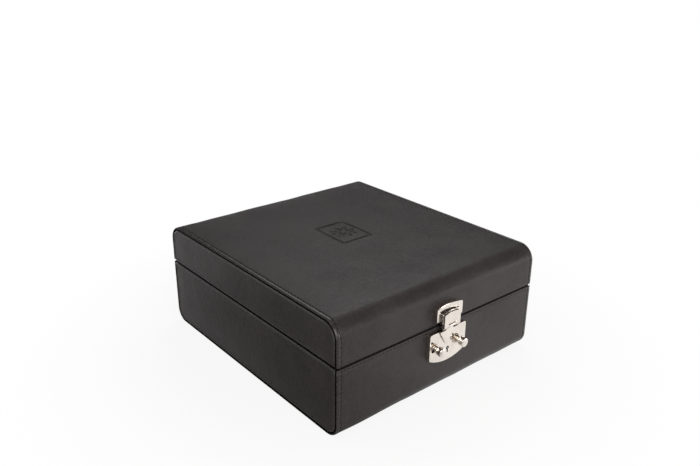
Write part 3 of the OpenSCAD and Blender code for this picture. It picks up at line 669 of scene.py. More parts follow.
def end_profile(look):
    """The turned edge, the bead and the crease: distances from a shell's end, and the leather's lift."""
    b, c = look.bead, look.crease
    return [(0, -0.55 * MM), (0.3 * MM, -0.3 * MM), (0.7 * MM, -0.12 * MM), (1.3 * MM, 0.01 * MM),
            (2.1 * MM, 0.1 * MM), (b - 0.75 * MM, 0.05 * MM), (b - 0.3 * MM, -0.25 * c), (b, -c),
            (b + 0.3 * MM, -0.25 * c), (b + 0.8 * MM, 0), (b + 3.2 * MM, 0)]


def wrap(name, low, high, corner_r, up, parting, look, motif=False):
    """A leather sheet round one shell, open at both ends and at the parting.

    Up is 1 where the parting is on top, and parting lists distances from it and lifts there.
    """
    low, high = low.copy(), high.copy()
    (high if up > 0 else low).z -= up * look.parting
    closed_z, open_z = (low.z, high.z) if up > 0 else (high.z, low.z)
    piece = block(name, low, high)
    ends = end_profile(look)
    inner_x = high.x - ends[-1][0]
    inner_z = sorted((open_z - up * parting[-1][0], closed_z + up * corner_r))
    with Bench(piece) as bench:
        bench.round(lambda p, d: abs(d.x) > 0.9 and abs(p.z - closed_z) < NEAR, corner_r, 14)
        bench.faces(lambda p, n: abs(n.x) > 0.9 or n.z * up > 0.9)
        bpy.ops.mesh.delete(type="FACE")
        bench.cut(X, [side * (high.x - d) for d, _ in ends[1:] for side in (LEFT, RIGHT)])
        bench.cut(X, steps(-inner_x, inner_x, 7 * MM))
        bench.cut(Y, steps(low.y + corner_r, high.y - corner_r, 7 * MM))
        bench.cut(Z, [open_z - up * d for d, _ in parting[1:]])
        bench.cut(Z, steps(*inner_z, 6 * MM))
        if motif:
            motif_grid(bench, closed_z)
        for d, rise in ends:
            if rise:
                bench.swell(lambda p: abs(abs(p.x) - (high.x - d)) < NEAR, rise)
        for d, rise in parting:
            if rise:
                bench.swell(lambda p: abs(p.z - (open_z - up * d)) < NEAR, rise)
    return piece


def motif_grid(bench, top):
    """A fine grid in the middle of the lid's top, for the pressed motif."""
    middle, half = MOTIF_MIDDLE, MOTIF_GRID
    bench.cut(X, (middle.x - half.x, middle.x + half.x))
    bench.cut(Y, (middle.y - half.y, middle.y + half.y))
    bench.edges(lambda p, d: abs(d.x) > 0.9 and abs(p.x - middle.x) < half.x)
    bpy.ops.mesh.subdivide(number_cuts=MOTIF_CUTS)
    bench.edges(lambda p, d: abs(d.y) > 0.9 and abs(p.y - middle.y) < half.y and abs(p.z - top) < NEAR)
    bpy.ops.mesh.subdivide(number_cuts=MOTIF_CUTS)


def motif_depth(x, y):
    """Share of the motif's depth at a point: a rounded frame round a rosette of eight petals."""
    x, y = x - MOTIF_MIDDLE.x, y - MOTIF_MIDDLE.y
    past_x, past_y = abs(x) - MOTIF_HALF.x + MOTIF_CORNER_R, abs(y) - MOTIF_HALF.y + MOTIF_CORNER_R
    edge = math.hypot(max(past_x, 0), max(past_y, 0)) + min(max(past_x, past_y), 0) - MOTIF_CORNER_R
    line = 1 - ramp(abs(edge), 0.8 * MM, 1.5 * MM)
    r, turn = math.hypot(x, y), math.atan2(y, x)
    reach = (5.2 + 5.6 * abs(math.cos(4 * turn))) * MM
    petal = 1 - ramp(r - reach, -0.3 * MM, 0.4 * MM)
    eye = ramp(r, 2.0 * MM, 2.7 * MM)
    return max(line, petal * eye)


def press_motif(piece, top):
    """Press the motif into the lid's top step by step, each narrower than the last."""
    with Bench(piece) as bench:
        for share in MOTIF_SLOPE:
            bench.move(lambda p: abs(p.z - top) < 2 * SHEET_T and abs(p.x) < MOTIF_GRID.x
                       and motif_depth(p.x, p.y) > share, 0, 0, -MOTIF_PRESS)


class JEWELRY_OT_base_leather(bpy.types.Operator):
    """Wrap the base's front, underside and back in leather"""
    bl_idname = "jewelry.base_leather"
    bl_label = "Base leather"

    def execute(self, context):
        look = context.scene.box_leather
        drop = look.stitch_drop
        parting = [(0, -0.16 * MM), (0.4 * MM, -0.03 * MM), (1.1 * MM, 0.02 * MM), (drop - 0.55 * MM, 0),
                   (drop, -0.34 * MM), (drop + 0.55 * MM, 0), (drop + 2 * MM, 0)]
        piece = wrap("base_leather", BASE_LOW, BASE_HIGH, BASE_CORNER_R, 1, parting, look)
        ripple(piece, 0.9 * MM, 30 * MM, lambda p: covering_share(p, BASE_HIGH.z, LOCK_HALF_W))
        hide(piece)
        settle(piece, "base", "leather", "base_cover")
        edge_work(piece, BASE_LOW, BASE_HIGH, BASE_CORNER_R, BASE_LOW.z, look.bead)
        # the cut edge at the rim is black: edge paint, and painted shade that darkens the parting
        paint(piece, "edge paint and shade", lambda p, n: n.z > 0.6 and p.z > BASE_HIGH.z - MM)
        return {"FINISHED"}


class JEWELRY_OT_lid_leather(bpy.types.Operator):
    """Wrap the padded lid in leather and press the motif into its top"""
    bl_idname = "jewelry.lid_leather"
    bl_label = "Lid leather"

    def execute(self, context):
        look = context.scene.box_leather
        parting = [(0, -0.26 * MM), (0.5 * MM, -0.07 * MM), (1.3 * MM, 0.03 * MM), (3 * MM, 0)]
        piece = wrap("lid_leather", LID_LOW, LID_HIGH, LID_CORNER_R, -1, parting, look, motif=True)
        lift(piece, look.padding, lid_crown, direction="Z", mid_level=0)
        ripple(piece, 0.8 * MM, 32 * MM, lambda p: covering_share(p, LID_LOW.z, HASP_HALF_W))
        hide(piece)
        press_motif(piece, LID_HIGH.z)
        smooth(piece, LEATHER_ANGLE)
        settle(piece, "lid", "leather", "lid_cover")
        edge_work(piece, LID_LOW, LID_HIGH, LID_CORNER_R, LID_HIGH.z, look.bead)
        # the cut edge at the rim is black: edge paint, and painted shade that darkens the parting
        paint(piece, "edge paint and shade", lambda p, n: n.z < -0.6 and p.z < LID_LOW.z + MM)
        return {"FINISHED"}


def lid_crown(p):
    """The padding's share under the lid's top: full in the middle, none at the creases and the curves."""
    if p.z < LID_HIGH.z - LID_CORNER_R:
        return 0
    return (ramp(LID_HIGH.x - abs(p.x), 5 * MM, 24 * MM)
            * ramp(LID_HIGH.y - abs(p.y), LID_CORNER_R - 5 * MM, LID_CORNER_R + 15 * MM))


def edge_work(piece, low, high, corner_r, closed_z, bead):
    """Burnish the rolled ends of a covering, and paint the walls of the grooves inside them black: edge
    paint, and painted shade in the grooves.
    """
    # the parting doesn't count as an end: the outline runs on past it
    far_z = 2 * (low.z + high.z - closed_z) - closed_z
    paint(piece, "burnished", lambda p, n: abs(p.x) > high.x - bead + 0.3 * MM)
    paint(piece, "edge paint and shade", lambda p, n: abs(p.x) > high.x - bead and abs(n.x) < 0.7
          and panel_inset(p, low, high, corner_r, closed_z, far_z) > 0.6 * MM)


def covering_share(p, parting_z, metal_half_w):
    """No unevenness at the ends, at the parting, on the underside or under the metal of the front."""
    if p.z < BASE_LOW.z + 2 * MM:
        return 0
    free = ramp(BASE_HIGH.x - abs(p.x), 6 * MM, 18 * MM) * ramp(abs(p.z - parting_z), 3 * MM, 9 * MM)
    if p.y < BASE_LOW.y + 4 * MM:
        free *= ramp(abs(p.x), metal_half_w, metal_half_w + 10 * MM)
    return free


def hide(sheet):
    """Turn a sheet of outer faces into leather of real thickness with turned edges."""
    modify(sheet, "SOLIDIFY", thickness=SHEET_T, offset=-1, use_even_offset=True)
    round_edges(sheet, TURNED_EDGE_R, 3, 55)
    carve(sheet, *hinge_notches())
    smooth(sheet, LEATHER_ANGLE)
    with Bench(sheet) as bench:
        bench.weld(0.01 * MM)


def rounded_block(name, low, high, ends, closed_z, corner_r):
    """A block between two places on X, with round corners on its closed side."""
    piece = block(name, (min(ends), low.y, low.z), (max(ends), high.y, high.z))
    with Bench(piece) as bench:
        bench.round(lambda p, d: abs(d.x) > 0.9 and abs(p.z - closed_z) < NEAR, corner_r, 12)
    return piece


def side_panel(name, node, body, side, up):
    """An inset side panel on a backing: a rounded rim, a crease inside it and a softly padded field."""
    look = bpy.context.scene.box_leather
    low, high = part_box(node)
    closed_z, open_z = (low.z, high.z) if up > 0 else (high.z, low.z)
    corner_r = (BASE_CORNER_R if up > 0 else LID_CORNER_R) - PANEL_GAP
    face_x, back_x = (high.x, low.x) if side > 0 else (low.x, high.x)
    tuck_x = back_x + side * 0.7 * MM
    backing = rounded_block(f"{name}_backing", low, high, (back_x, tuck_x), closed_z, corner_r)
    corner_r -= GROOVE
    closed_z, open_z = closed_z + up * GROOVE, open_z - up * (look.parting - 0.2 * MM)
    low = Vector((low.x, low.y + GROOVE, min(closed_z, open_z)))
    high = Vector((high.x, high.y - GROOVE, max(closed_z, open_z)))
    piece = rounded_block(name, low, high, (back_x, face_x), closed_z, corner_r)

    def inset(p):
        return panel_inset(p, low, high, corner_r, closed_z, open_z)

    def share(p):
        if p.x * side < face_x * side - 0.7 * MM:
            return 0
        return ramp(inset(p), 5 * MM, 12 * MM)

    with Bench(piece) as bench:
        bench.inset(lambda p, n: n.x * side > 0.9, *PANEL_RINGS)
        bench.cut(Y, steps(low.y, high.y, 7 * MM))
        bench.cut(Z, steps(low.z, high.z, 6 * MM))
        for near, far, back in PANEL_ROUNDING:
            bench.move(lambda p: abs(p.x - face_x) < NEAR and near * MM < inset(p) < far * MM,
                       -side * back * MM, 0, 0)
        for depth, rise in PANEL_PADDING:
            if 2 * depth * MM < high.z - low.z:
                bench.move(lambda p: p.x * side > face_x * side - MM and inset(p) > depth * MM,
                           side * (rise * MM), 0, 0)
                bpy.ops.mesh.vertices_smooth(factor=0.5, repeat=1)
    ripple(piece, 0.9 * MM, 34 * MM, share)
    piece = join(name, (piece, backing))
    smooth(piece, LEATHER_ANGLE)
    settle(piece, body, "leather", node)
    paint(piece, "burnished", lambda p, n: inset(p) < 1.7 * MM)
    # painted shade: the groove walls and the backing behind the groove are black, so the groove reads dark;
    # on the cut edges it is also edge paint
    paint(piece, "edge paint and shade", lambda p, n: abs(n.x) < 0.56 or abs(p.x) < abs(tuck_x) + NEAR)


def panel_inset(p, low, high, corner_r, closed_z, open_z):
    """How far a point lies inside a panel's outline."""
    side_gap = min(p.y - low.y, high.y - p.y)
    closed_gap = abs(p.z - closed_z)
    open_gap = abs(p.z - open_z)
    if side_gap < corner_r and closed_gap < corner_r:
        return min(open_gap, corner_r - math.hypot(corner_r - side_gap, corner_r - closed_gap))
    return min(side_gap, closed_gap, open_gap)


class JEWELRY_OT_side_panels(bpy.types.Operator):
    """Set the padded side panels into the base and the lid"""
    bl_idname = "jewelry.side_panels"
    bl_label = "Side panels"

    def execute(self, context):
        for side, word in ((LEFT, "left"), (RIGHT, "right")):
            side_panel(f"base_{word}_side", f"base_{word}_panel", "base", side, 1)
            side_panel(f"lid_{word}_side", f"lid_{word}_panel", "lid", side, -1)
        return {"FINISHED"}


class JEWELRY_OT_rims(bpy.types.Operator):
    """Cover the rims that meet when the lid is closed"""
    bl_idname = "jewelry.rims"
    bl_label = "Rims"

    def execute(self, context):
        for part, up in (("base", 1), ("lid", -1)):
            low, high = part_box(f"{part}_rim")
            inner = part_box(f"{part}_wall_lining")[1]
            # the leather laps over the boards, so that no wood shows in the parting
            (low if up > 0 else high).z -= up * 0.7 * MM
            over = Vector((0.05 * MM, 0.05 * MM, 0))
            piece = block(f"{part}_rim_leather", low - over, high + over)
            carve(piece, block("well", (-inner.x, -inner.y, low.z - MM), (inner.x, inner.y, high.z + MM)),
                  *hinge_notches())
            with Bench(piece) as bench:
                bench.cut(X, steps(low.x, high.x, 12 * MM))
                bench.cut(Y, steps(low.y, high.y, 12 * MM))
            round_edges(piece, 0.22 * MM, 2, LEATHER_ANGLE)
            smooth(piece, RIM_ANGLE)
            settle(piece, part, "leather", f"{part}_rim")
            # painted shade: the rims' outer sides are black, so the parting between lid and base reads dark
            paint(piece, "edge paint and shade", lambda p, n: abs(n.z) < 0.5
                  and max(abs(p.x) - high.x, abs(p.y) - high.y) > -MM)
        return {"FINISHED"}


# ---- Stitching ------------------------------------------------------------------------------


def one_stitch(look):
    """A stitch along X, fullest in its middle, flattened below and tucked in at its ends."""
    bpy.ops.object.select_all(action="DESELECT")
    bpy.ops.mesh.primitive_uv_sphere_add(
        segments=6, ring_count=4, radius=0.5, rotation=(0, math.pi / 2, 0),
        scale=(STITCH_T, STITCH_T, look.stitch_length))
    piece = start("stitch")
    with Bench(piece) as bench:
        bench.points(lambda p: p.z < -0.1 * MM)
        bpy.ops.transform.resize(value=(1, 1, 0.5))
        bench.move(lambda p: abs(p.x) > look.stitch_length * 0.45, 0, 0, -0.1 * MM)
    smooth(piece, ROUND_ANGLE)
    return piece


def round_the_shell(low, high, corner_r, up, pitch, x):
    """Even places for stitches round a shell at X: the point, the way along the row and the way out."""
    open_z = high.z if up > 0 else low.z
    wall = high.z - low.z - corner_r
    arc = corner_r * math.pi / 2
    total = 2 * (wall + arc) + high.y - low.y - 2 * corner_r
    count = round((total - 2 * STITCH_MARGIN) / pitch)
    for i in range(count + 1):
        s = STITCH_MARGIN + (total - 2 * STITCH_MARGIN) * i / count
        back = s > total / 2
        t = total - s if back else s
        if t < wall:
            y, h, along, out = low.y, t, (0, 1), (-1, 0)
        elif t < wall + arc:
            a = (t - wall) / corner_r
            y, h = low.y + corner_r * (1 - math.cos(a)), wall + corner_r * math.sin(a)
            along, out = (math.sin(a), math.cos(a)), (-math.cos(a), math.sin(a))
        else:
            y, h, along, out = low.y + corner_r + t - wall - arc, wall + corner_r, (1, 0), (0, 1)
        way = BACK if back else FRONT
        yield (Vector((x, -way * y, open_z - up * h)), Vector((0, -way * along[0], -up * along[1])),
               Vector((0, -way * out[0], -up * out[1])))


def stitch_place(at, along, out, depth):
    """Matrix that lays a slanting stitch in its crease, with its X along the row and its Z outwards."""
    turn = Matrix((along, out.cross(along), out)).transposed().to_4x4()
    return Matrix.Translation(at - out * depth) @ turn @ STITCH_SLANT


class JEWELRY_OT_stitching(bpy.types.Operator):
    """Sew the creases of the base and the lid"""
    bl_idname = "jewelry.stitching"
    bl_label = "Stitching"

    def execute(self, context):
        look = context.scene.box_leather
        crease_x = BASE_HIGH.x - look.bead
        pitch = look.stitch_pitch
        for part, low, high, corner_r, up in (("base", BASE_LOW, BASE_HIGH, BASE_CORNER_R, 1),
                                              ("lid", LID_LOW, LID_HIGH, LID_CORNER_R, -1)):
            places = [stitch_place(*place, look.crease * 0.45) for side in (LEFT, RIGHT)
                      for place in round_the_shell(low, high, corner_r, up, pitch, side * crease_x)]
            if part == "base":
                # the row below the rim, which stops at both sides of the lock
                for way, gap in ((FRONT, LOCK_ROW_GAP), (BACK, 0)):
                    row = [Vector((x, way * high.y, high.z - look.stitch_drop))
                           for x in steps(-crease_x, crease_x, pitch) if abs(x) > gap]
                    places += [stitch_place(at, Vector((1, 0, 0)), Vector((0, way, 0)), 0.1 * MM)
                               for at in row]
            stitches = copies(f"{part}_stitches", one_stitch(look), places)
            settle(stitches, part, "leather", look="thread")
        return {"FINISHED"}


# ---- Linings --------------------------------------------------------------------------------


class JEWELRY_OT_underside_felt(bpy.types.Operator):
    """Lay the felt on the underside"""
    bl_idname = "jewelry.underside_felt"
    bl_label = "Underside felt"

    def execute(self, context):
        low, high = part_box("bottom_felt")
        piece = block("underside_felt", low, high)
        with Bench(piece) as bench:
            bench.round(lambda p, d: abs(d.z) > 0.9, FELT_CORNER_R, 6)
            bench.inset(lambda p, n: n.z < -0.9, (0.3, 0), (2.5, 0))
            bench.move(lambda p: p.z < NEAR and felt_edge(p, low, high) < 0.1 * MM, 0, 0, 0.2 * MM)
        smooth(piece, LEATHER_ANGLE)
        settle(piece, "base", "felt", "bottom_felt")
        return {"FINISHED"}


def felt_edge(p, low, high):
    """How far a point lies inside the felt's outline."""
    x_gap, y_gap = min(p.x - low.x, high.x - p.x), min(p.y - low.y, high.y - p.y)
    if max(x_gap, y_gap) < FELT_CORNER_R:
        return FELT_CORNER_R - math.hypot(FELT_CORNER_R - x_gap, FELT_CORNER_R - y_gap)
    return min(x_gap, y_gap)


def sleeve(name, outer, inner, low_z, high_z, free_end):
    """A lining that stands round the inside of a shell, with its free end turned over softly."""
    piece = block(name, (-inner.x, -inner.y, low_z), (inner.x, inner.y, high_z))
    with Bench(piece) as bench:
        bench.faces(lambda p, n: abs(n.z) > 0.9)
        bpy.ops.mesh.delete(type="FACE")
    modify(piece, "SOLIDIFY", thickness=outer.x - inner.x, offset=1, use_even_offset=True)
    with Bench(piece) as bench:
        bench.round(lambda p, d: abs(d.z) > 0.9 and abs(p.x) < inner.x + NEAR, 1.2 * MM, 4)
        bench.round(lambda p, d: abs(d.z) < 0.5 and abs(p.z - free_end) < NEAR
                    and abs(p.x) < inner.x + NEAR and abs(p.y) < inner.y + NEAR, 0.45 * MM, 3)
        bench.cut(X, steps(-inner.x + 3 * MM, inner.x - 3 * MM, 9 * MM))
        bench.cut(Y, steps(-inner.y + 3 * MM, inner.y - 3 * MM, 9 * MM))
        bench.cut(Z, steps(low_z + 2 * MM, high_z - 2 * MM, 9 * MM))

    def share(p):
        if abs(p.x) > outer.x - 0.5 * MM or abs(p.y) > outer.y - 0.5 * MM:
            return 0
        corner_gap = math.hypot(inner.x - abs(p.x), inner.y - abs(p.y))
        return ramp(corner_gap, 2 * MM, 9 * MM) * ramp(abs(p.z - free_end), MM, 4 * MM)

    ripple(piece, 0.3 * MM, 16 * MM, share)
    smooth(piece, LEATHER_ANGLE)
    return piece


def shelf(name, low, high, top_r, puff):
    """A velvet-covered strip or bed with soft upper edges."""
    low, high = Vector(low), Vector(high)
    piece = block(name, low, high)
    long = X if high.x - low.x > high.y - low.y else Y
    with Bench(piece) as bench:
        bench.round(lambda p, d: abs(p.z - high.z) < NEAR and abs(d[long]) > 0.9, top_r, 8, clamp=True)
        bpy.ops.mesh.select_all(action="SELECT")
        bpy.ops.mesh.remove_doubles(threshold=1e-6)
        bench.cut(X, steps(low.x, high.x, 6 * MM))
        bench.cut(Y, steps(low.y, high.y, 6 * MM))
        bench.cut(Z, steps(low.z, high.z - top_r, 7 * MM))

    def share(p):
        ends = min(p[long] - low[long], high[long] - p[long])
        return ramp(ends, 0.5 * MM, 5 * MM) * ramp(p.z - low.z, MM, 6 * MM)

    ripple(piece, puff, 11 * MM, share)
    smooth(piece, ROUND_ANGLE)
    return piece


class JEWELRY_OT_base_lining(bpy.types.Operator):
    """Line the base's walls and floor with velvet"""
    bl_idname = "jewelry.base_lining"
    bl_label = "Base lining"

    def execute(self, context):
        wall_low, wall_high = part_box("base_wall_lining")
        low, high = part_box("base_floor_lining")
        walls = sleeve("base_wall_velvet", wall_high, high, wall_low.z, wall_high.z, wall_high.z)
        settle(walls, "base", "velvet", "base_wall_lining")
        floor = block("base_floor_velvet", low, high)
        with Bench(floor) as bench:
            bench.cut(X, steps(low.x, high.x, 7 * MM))
            bench.cut(Y, steps(low.y, high.y, 7 * MM))

        def share(p):
            edge_gap = min(high.x - abs(p.x), high.y - abs(p.y))
            return ramp(p.z, high.z - 0.2 * MM, high.z) * ramp(edge_gap, 0, 4 * MM)

        ripple(floor, 0.35 * MM, 14 * MM, share)
        smooth(floor, LEATHER_ANGLE)
        settle(floor, "base", "velvet", "base_floor_lining")
        return {"FINISHED"}


class JEWELRY_OT_dividers(bpy.types.Operator):
    """Stand the velvet-covered dividers in the base"""
    bl_idname = "jewelry.dividers"
    bl_label = "Dividers"

    def execute(self, context):
        puff = context.scene.box_lining.puff
        for node in ("front_divider", "middle_divider", "back_divider"):
            piece = shelf(f"{node}_velvet", *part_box(node), DIVIDER_TOP_R, puff)
            settle(piece, "base", "velvet", node)
        low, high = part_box("small_dividers")
        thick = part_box("back_divider")[1].x * 2
        pair = [shelf("cell_divider", (x, low.y, low.z), (x + thick, high.y, high.z), DIVIDER_TOP_R, puff)
                for x in (low.x, high.x - thick)]
        settle(join("small_dividers_velvet", pair), "base", "velvet", "small_dividers")
        return {"FINISHED"}


class JEWELRY_OT_ring_rolls(bpy.types.Operator):
    """Lay the padded ring rolls on their bed"""
    bl_idname = "jewelry.ring_rolls"
    bl_label = "Ring rolls"

    def execute(self, context):
        puff = context.scene.box_lining.puff
        bed = shelf("ring_bed_velvet", *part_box("ring_bed"), 1.0 * MM, puff)
        settle(bed, "base", "velvet", "ring_bed")
        low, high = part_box("ring_rolls")
        r = (high.z - low.z) / 2
        pitch = (high.y - low.y - 2 * r) / (ROLLS - 1)
        middle = (low.y + r, low.z + r)
        roll = bar("roll", (low.x, *middle), (high.x, *middle), r - 0.12 * MM, 40)
        with Bench(roll) as bench:
            bench.round(lambda p, d: abs(abs(p.x) - high.x) < NEAR and abs(d.x) < 0.1, 1.6 * MM, 5)
            for side in (LEFT, RIGHT):
                bench.inset(lambda p, n: n.x * side > 0.98 and abs(p.x) > high.x - NEAR,
                            (1.4, 0.0), (1.2, -0.35))
            bench.cut(X, steps(-high.x + 2 * MM, high.x - 2 * MM, 3.5 * MM))
            # a sewn seam along the underside
            bench.move(lambda p: p.z < low.z + 0.2 * MM and abs(p.x) < high.x - 2 * MM, 0, 0, 0.5 * MM)
        for i in range(ROLLS):
            one = twin(roll)
            one.location.y = i * pitch
            only(one)
            start(f"ring_roll_{i + 1}")
            ripple(one, 0.24 * MM, 9 * MM, lambda p: ramp(high.x - abs(p.x), MM, 6 * MM), 2)
            smooth(one, ROUND_ANGLE)
            settle(one, "base", "velvet", "ring_rolls")
        bpy.data.objects.remove(roll)
        return {"FINISHED"}


class JEWELRY_OT_lid_lining(bpy.types.Operator):
    """Line the lid and set its mirror into a padded velvet border"""
    bl_idname = "jewelry.lid_lining"
    bl_label = "Lid lining and mirror"

    def execute(self, context):
        low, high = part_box("lid_wall_lining")
        walls = sleeve("lid_wall_velvet", high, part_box("mirror_frame")[1], low.z, high.z, low.z)
        settle(walls, "lid", "velvet", "lid_wall_lining")
        glass_low, glass_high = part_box("mirror")
        mirror_border(glass_low, glass_high)
        glass = block("mirror_glass", glass_low, glass_high)
        with Bench(glass) as bench:
            # the bevelled rim of the glass
            bench.inset(lambda p, n: n.z < -0.9, (9, 0))
            bench.move(lambda p: p.z < glass_low.z + NEAR and abs(p.x) > glass_high.x - MM, 0, 0, 0.9 * MM)
            bench.round(lambda p, d: abs(p.z - glass_high.z) < NEAR, 0.2 * MM, 1)
        settle(glass, "lid", "mirror", "mirror")
        return {"FINISHED"}


def mirror_border(glass_low, glass_high):
    """The padded velvet border, with a window for the mirror and a seat behind it."""
    low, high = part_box("mirror_frame")
    window = Vector((glass_high.x - MIRROR_LIP, glass_high.y - MIRROR_LIP))
    seat = Vector((glass_high.x + MIRROR_SEAT, glass_high.y + MIRROR_SEAT))
    border = block("mirror_border", low, high)
    carve(border,
          block("window", (-window.x, -window.y, low.z - MM), (window.x, window.y, high.z + MM)),
          block("seat", (-seat.x, -seat.y, glass_low.z), (seat.x, seat.y, high.z + MM)))

    def inset(p):
        x, y = abs(p.x), abs(p.y)
        return min(max(x - window.x, y - window.y), high.x - x, high.y - y)

    def share(p):
        return ramp(inset(p), MM, 5 * MM) if p.z < low.z + 0.6 * MM else 0

    with Bench(border) as bench:
        bench.round(lambda p, d: abs(d.z) < 0.1 and abs(p.z - low.z) < NEAR
                    and abs(p.x) < window.x + NEAR and abs(p.y) < window.y + NEAR, 1.3 * MM, 6)
        bench.cut(X, steps(-high.x, high.x, 5 * MM))
        bench.cut(Y, steps(-high.y, high.y, 5 * MM))
        # the border swells between its edges
        for depth, rise in ((4 * MM, 0.2 * MM), (7 * MM, 0.15 * MM)):
            bench.move(lambda p: p.z < low.z + 0.5 * MM and inset(p) > depth, 0, 0, -rise)
            bpy.ops.mesh.vertices_smooth(factor=0.5, repeat=1)
    ripple(border, 0.35 * MM, 10 * MM, share)
    smooth(border, LEATHER_ANGLE)
    settle(border, "lid", "velvet", "mirror_frame")


# ---- Metal and what is hidden ---------------------------------------------------------------


def metal_part(node, body, slot, edge, segments=3):
    """A merged copy of a metal CAD part with softened edges."""
    mesh = frame["nodes"][node].data.copy()
    piece = bpy.data.objects.new(f"{node}_metal", mesh)
    bpy.context.collection.objects.link(piece)
    with Bench(piece) as bench:
        bpy.context.tool_settings.mesh_select_mode = (True, False, False)
        bench.weld(CAD_WELD)
        bpy.ops.mesh.dissolve_limited(angle_limit=math.radians(0.6))
    round_edges(piece, edge, segments, METAL_ANGLE)
    with Bench(piece) as bench:
        bench.weld(CAD_WELD / 50)
    smooth(piece, METAL_ANGLE)
    return settle(piece, body, slot, node)


class JEWELRY_OT_lock(bpy.types.Operator):
    """Polish the lock, the hasp and the knobs"""
    bl_idname = "jewelry.lock"
    bl_label = "Lock and hasp"

    def execute(self, context):
        edge = context.scene.box_metal.edge
        for node, body, share in (("lock_cover", "base", 1), ("hasp_plate", "lid", 1),
                                  ("hasp_cap", "lid", 1), ("hasp_tongue", "tongue", 0.8),
                                  ("left_knob", "left_knob", 1), ("right_knob", "right_knob", 1)):
            metal_part(node, body, "nickel", edge * share)
        return {"FINISHED"}


class JEWELRY_OT_hinges(bpy.types.Operator):
    """Finish the rear hinges"""
    bl_idname = "jewelry.hinges"
    bl_label = "Rear hinges"

    def execute(self, context):
        for side in ("left", "right"):
            metal_part(f"{side}_hinge_base_leaf", "base", "steel", 0.12 * MM, 2)
            metal_part(f"{side}_hinge_lid_leaf", "lid", "steel", 0.12 * MM, 2)
        return {"FINISHED"}


class JEWELRY_OT_inner_parts(bpy.types.Operator):
    """Finish the boards, the foam and the small steel parts, which keep their CAD shapes"""
    bl_idname = "jewelry.inner_parts"
    bl_label = "Inner parts"

    def execute(self, context):
        slots = {part["node"]: part["material_slot"] for part in frame["record"]["subparts"]}
        for name, node in frame["nodes"].items():
            if not node.hide_render:
                node.data.materials.clear()
                node.data.materials.append(finish(slots[name]))
        return {"FINISHED"}


# ---- Stage ----------------------------------------------------------------------------------


def glow(f, colour, strength):
    return f.add("Emission", {}, {"Color": (*colour, 1), "Strength": strength})


def softbox(name, power, at, target, size, colour):
    """A rectangular lamp."""
    bpy.ops.object.select_all(action="DESELECT")
    bpy.ops.object.light_add(type="AREA")
    lamp = bpy.context.object
    lamp.name = name
    lamp.data.shape = "RECTANGLE"
    lamp.data.size, lamp.data.size_y = size
    lamp.data.energy = power
    lamp.data.color = colour
    lamp.location = at
    lamp.rotation_euler = (Vector(target) - Vector(at)).to_track_quat("-Z", "Y").to_euler()


def seen(f, mirrored):
    """1 for what the camera sees straight or through glass, and the given share for what metal mirrors."""
    node = f.add("LightPath").socket.node
    straight, gloss, through = (Wire(f, node.outputs[name]) for name in
                                ("Is Camera Ray", "Is Glossy Ray", "Is Transmission Ray"))
    return f.add("Math", {"operation": "MINIMUM"}, (straight + through + gloss * mirrored, 1.0))


def pale_floor(colour):
    """A pale floor that is white a little way from the box.

    Glossy rays see a dark band on it, left of the box, and more light behind the box.
    """
    f = new_finish("pale_floor")
    at = f.place()
    matt = f.add("BsdfDiffuse", {}, {"Color": f.blend(f.noise(at, 0.5, 2), toned(colour, 0.97), colour)})
    reach = f.add("VectorMath", {"operation": "LENGTH"}, (at,), out="Value")
    plain = f.add("MixShader", {}, (seen(f, 0.0) * reach.fit(0.12, 0.3, 0.87, 1.0), matt,
                                    glow(f, WHITE, 1.0)))
    across = f.add("VectorMath", {"operation": "DOT_PRODUCT"}, (at, (1.6, 0.4, 0)), out="Value")
    away = f.add("SeparateXYZ", {}, (at,), out="Y")
    shine = (across.fit(-0.25, 0.02, 0.12, 1.0) + across.fit(-0.5, -0.4, 1.0, 0.0)
             + away.fit(0.08, 0.28, 0.0, 0.35))
    f.end(f.add("MixShader", {}, (f.add("LightPath", out="Is Glossy Ray"), plain, glow(f, WHITE, shine))))
    return f.owner


def studio(look):
    """The world: a soft light from all round, and white walls under a dark ceiling for what is seen."""
    w = Finish(bpy.data.worlds.new("studio"))
    room = w.add("Background", {}, {"Color": (1.0, 0.99, 0.97, 1), "Strength": look.ambient})
    height = w.add("SeparateXYZ", {}, (w.add("TexCoord", out="Generated"),), out="Z")
    wall = w.add("Background", {}, {"Color": (*WHITE, 1)})
    dark = w.add("Background", {}, {"Color": (*WHITE, 1), "Strength": look.ceiling})
    walls = w.add("MixShader", {}, (seen(w, height.fit(0.0, 0.14, 1.0, 0.0)), dark, wall))
    w.end(w.add("MixShader", {}, (seen(w, 1.0), room, walls)))
    return w.owner


def set_camera(picture_w):
    azimuth, elevation, roll = (math.radians(a) for a in (CAMERA_AZIMUTH, CAMERA_ELEVATION, CAMERA_ROLL))
    back = Vector((math.sin(azimuth) * math.cos(elevation), -math.cos(azimuth) * math.cos(elevation),
                   math.sin(elevation)))
    right = (-back).cross(Vector((0, 0, 1))).normalized()
    up = right.cross(-back)
    turn = Matrix((right * math.cos(roll) + up * math.sin(roll),
                   -right * math.sin(roll) + up * math.cos(roll), back)).transposed()
    bpy.ops.object.camera_add()
    camera = bpy.context.object
    camera.name = "camera"
    camera.matrix_world = Matrix.Translation(CAMERA_PLACE * MM) @ turn.to_4x4()
    camera.data.sensor_width = SENSOR_W
    camera.data.lens = CAMERA_LENS * SENSOR_W / picture_w
    camera.data.clip_start = 0.01
    bpy.context.scene.camera = camera


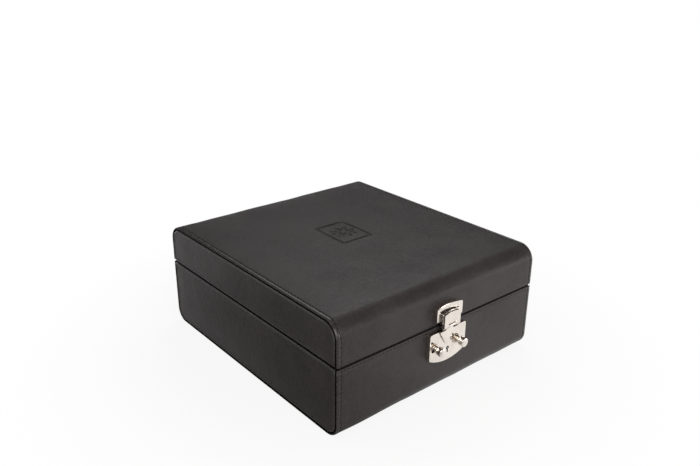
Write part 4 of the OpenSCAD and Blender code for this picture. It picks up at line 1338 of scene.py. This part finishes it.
class JEWELRY_OT_stage(bpy.types.Operator):
    """Set the floor, the lights, the surroundings and the camera"""
    bl_idname = "jewelry.stage"
    bl_label = "Stage"

    def execute(self, context):
        look = context.scene.box_stage
        bpy.ops.object.select_all(action="DESELECT")
        bpy.ops.mesh.primitive_plane_add(size=FLOOR_SIZE, location=(0, 0, 0))
        floor = start("floor")
        floor.data.materials.append(pale_floor(tuple(look.floor)))
        context.scene.world = studio(look)
        for name, lamp in LAMPS.items():
            softbox(name, getattr(look, name), *lamp)
        set_camera(look.frame_w)
        context.scene.view_settings.view_transform = "Standard"
        return {"FINISHED"}


# ---- Panel and run --------------------------------------------------------------------------

STEPS = (
    JEWELRY_OT_base_leather, JEWELRY_OT_lid_leather, JEWELRY_OT_side_panels, JEWELRY_OT_rims,
    JEWELRY_OT_stitching, JEWELRY_OT_underside_felt, JEWELRY_OT_base_lining, JEWELRY_OT_dividers,
    JEWELRY_OT_ring_rolls, JEWELRY_OT_lid_lining, JEWELRY_OT_lock, JEWELRY_OT_hinges,
    JEWELRY_OT_inner_parts, JEWELRY_OT_stage,
)


class JEWELRY_PT_box(bpy.types.Panel):
    """The steps that dress the jewelry box, and their settings"""
    bl_idname = "JEWELRY_PT_box"
    bl_label = "Jewelry Box"
    bl_space_type = "VIEW_3D"
    bl_region_type = "UI"
    bl_category = "Jewelry Box"

    def draw(self, context):
        for group in ("box_leather", "box_lining", "box_metal", "box_stage"):
            settings = getattr(context.scene, group)
            column = self.layout.box().column()
            for key in settings.__annotations__:
                column.prop(settings, key)
        for step in STEPS:
            self.layout.operator(step.bl_idname)


SETTINGS = {"box_leather": LeatherSettings, "box_lining": LiningSettings,
            "box_metal": MetalSettings, "box_stage": StageSettings}


def register():
    for group in SETTINGS.values():
        bpy.utils.register_class(group)
    for name, group in SETTINGS.items():
        setattr(bpy.types.Scene, name, PointerProperty(type=group))
    for step in STEPS:
        bpy.utils.register_class(step)
    bpy.utils.register_class(JEWELRY_PT_box)


def unregister():
    bpy.utils.unregister_class(JEWELRY_PT_box)
    for step in reversed(STEPS):
        bpy.utils.unregister_class(step)
    for name, group in SETTINGS.items():
        delattr(bpy.types.Scene, name)
        bpy.utils.unregister_class(group)


def main():
    register()
    for step in STEPS:
        family, name = step.bl_idname.split(".")
        getattr(getattr(bpy.ops, family), name)()


if __name__ == "__main__":
    main()
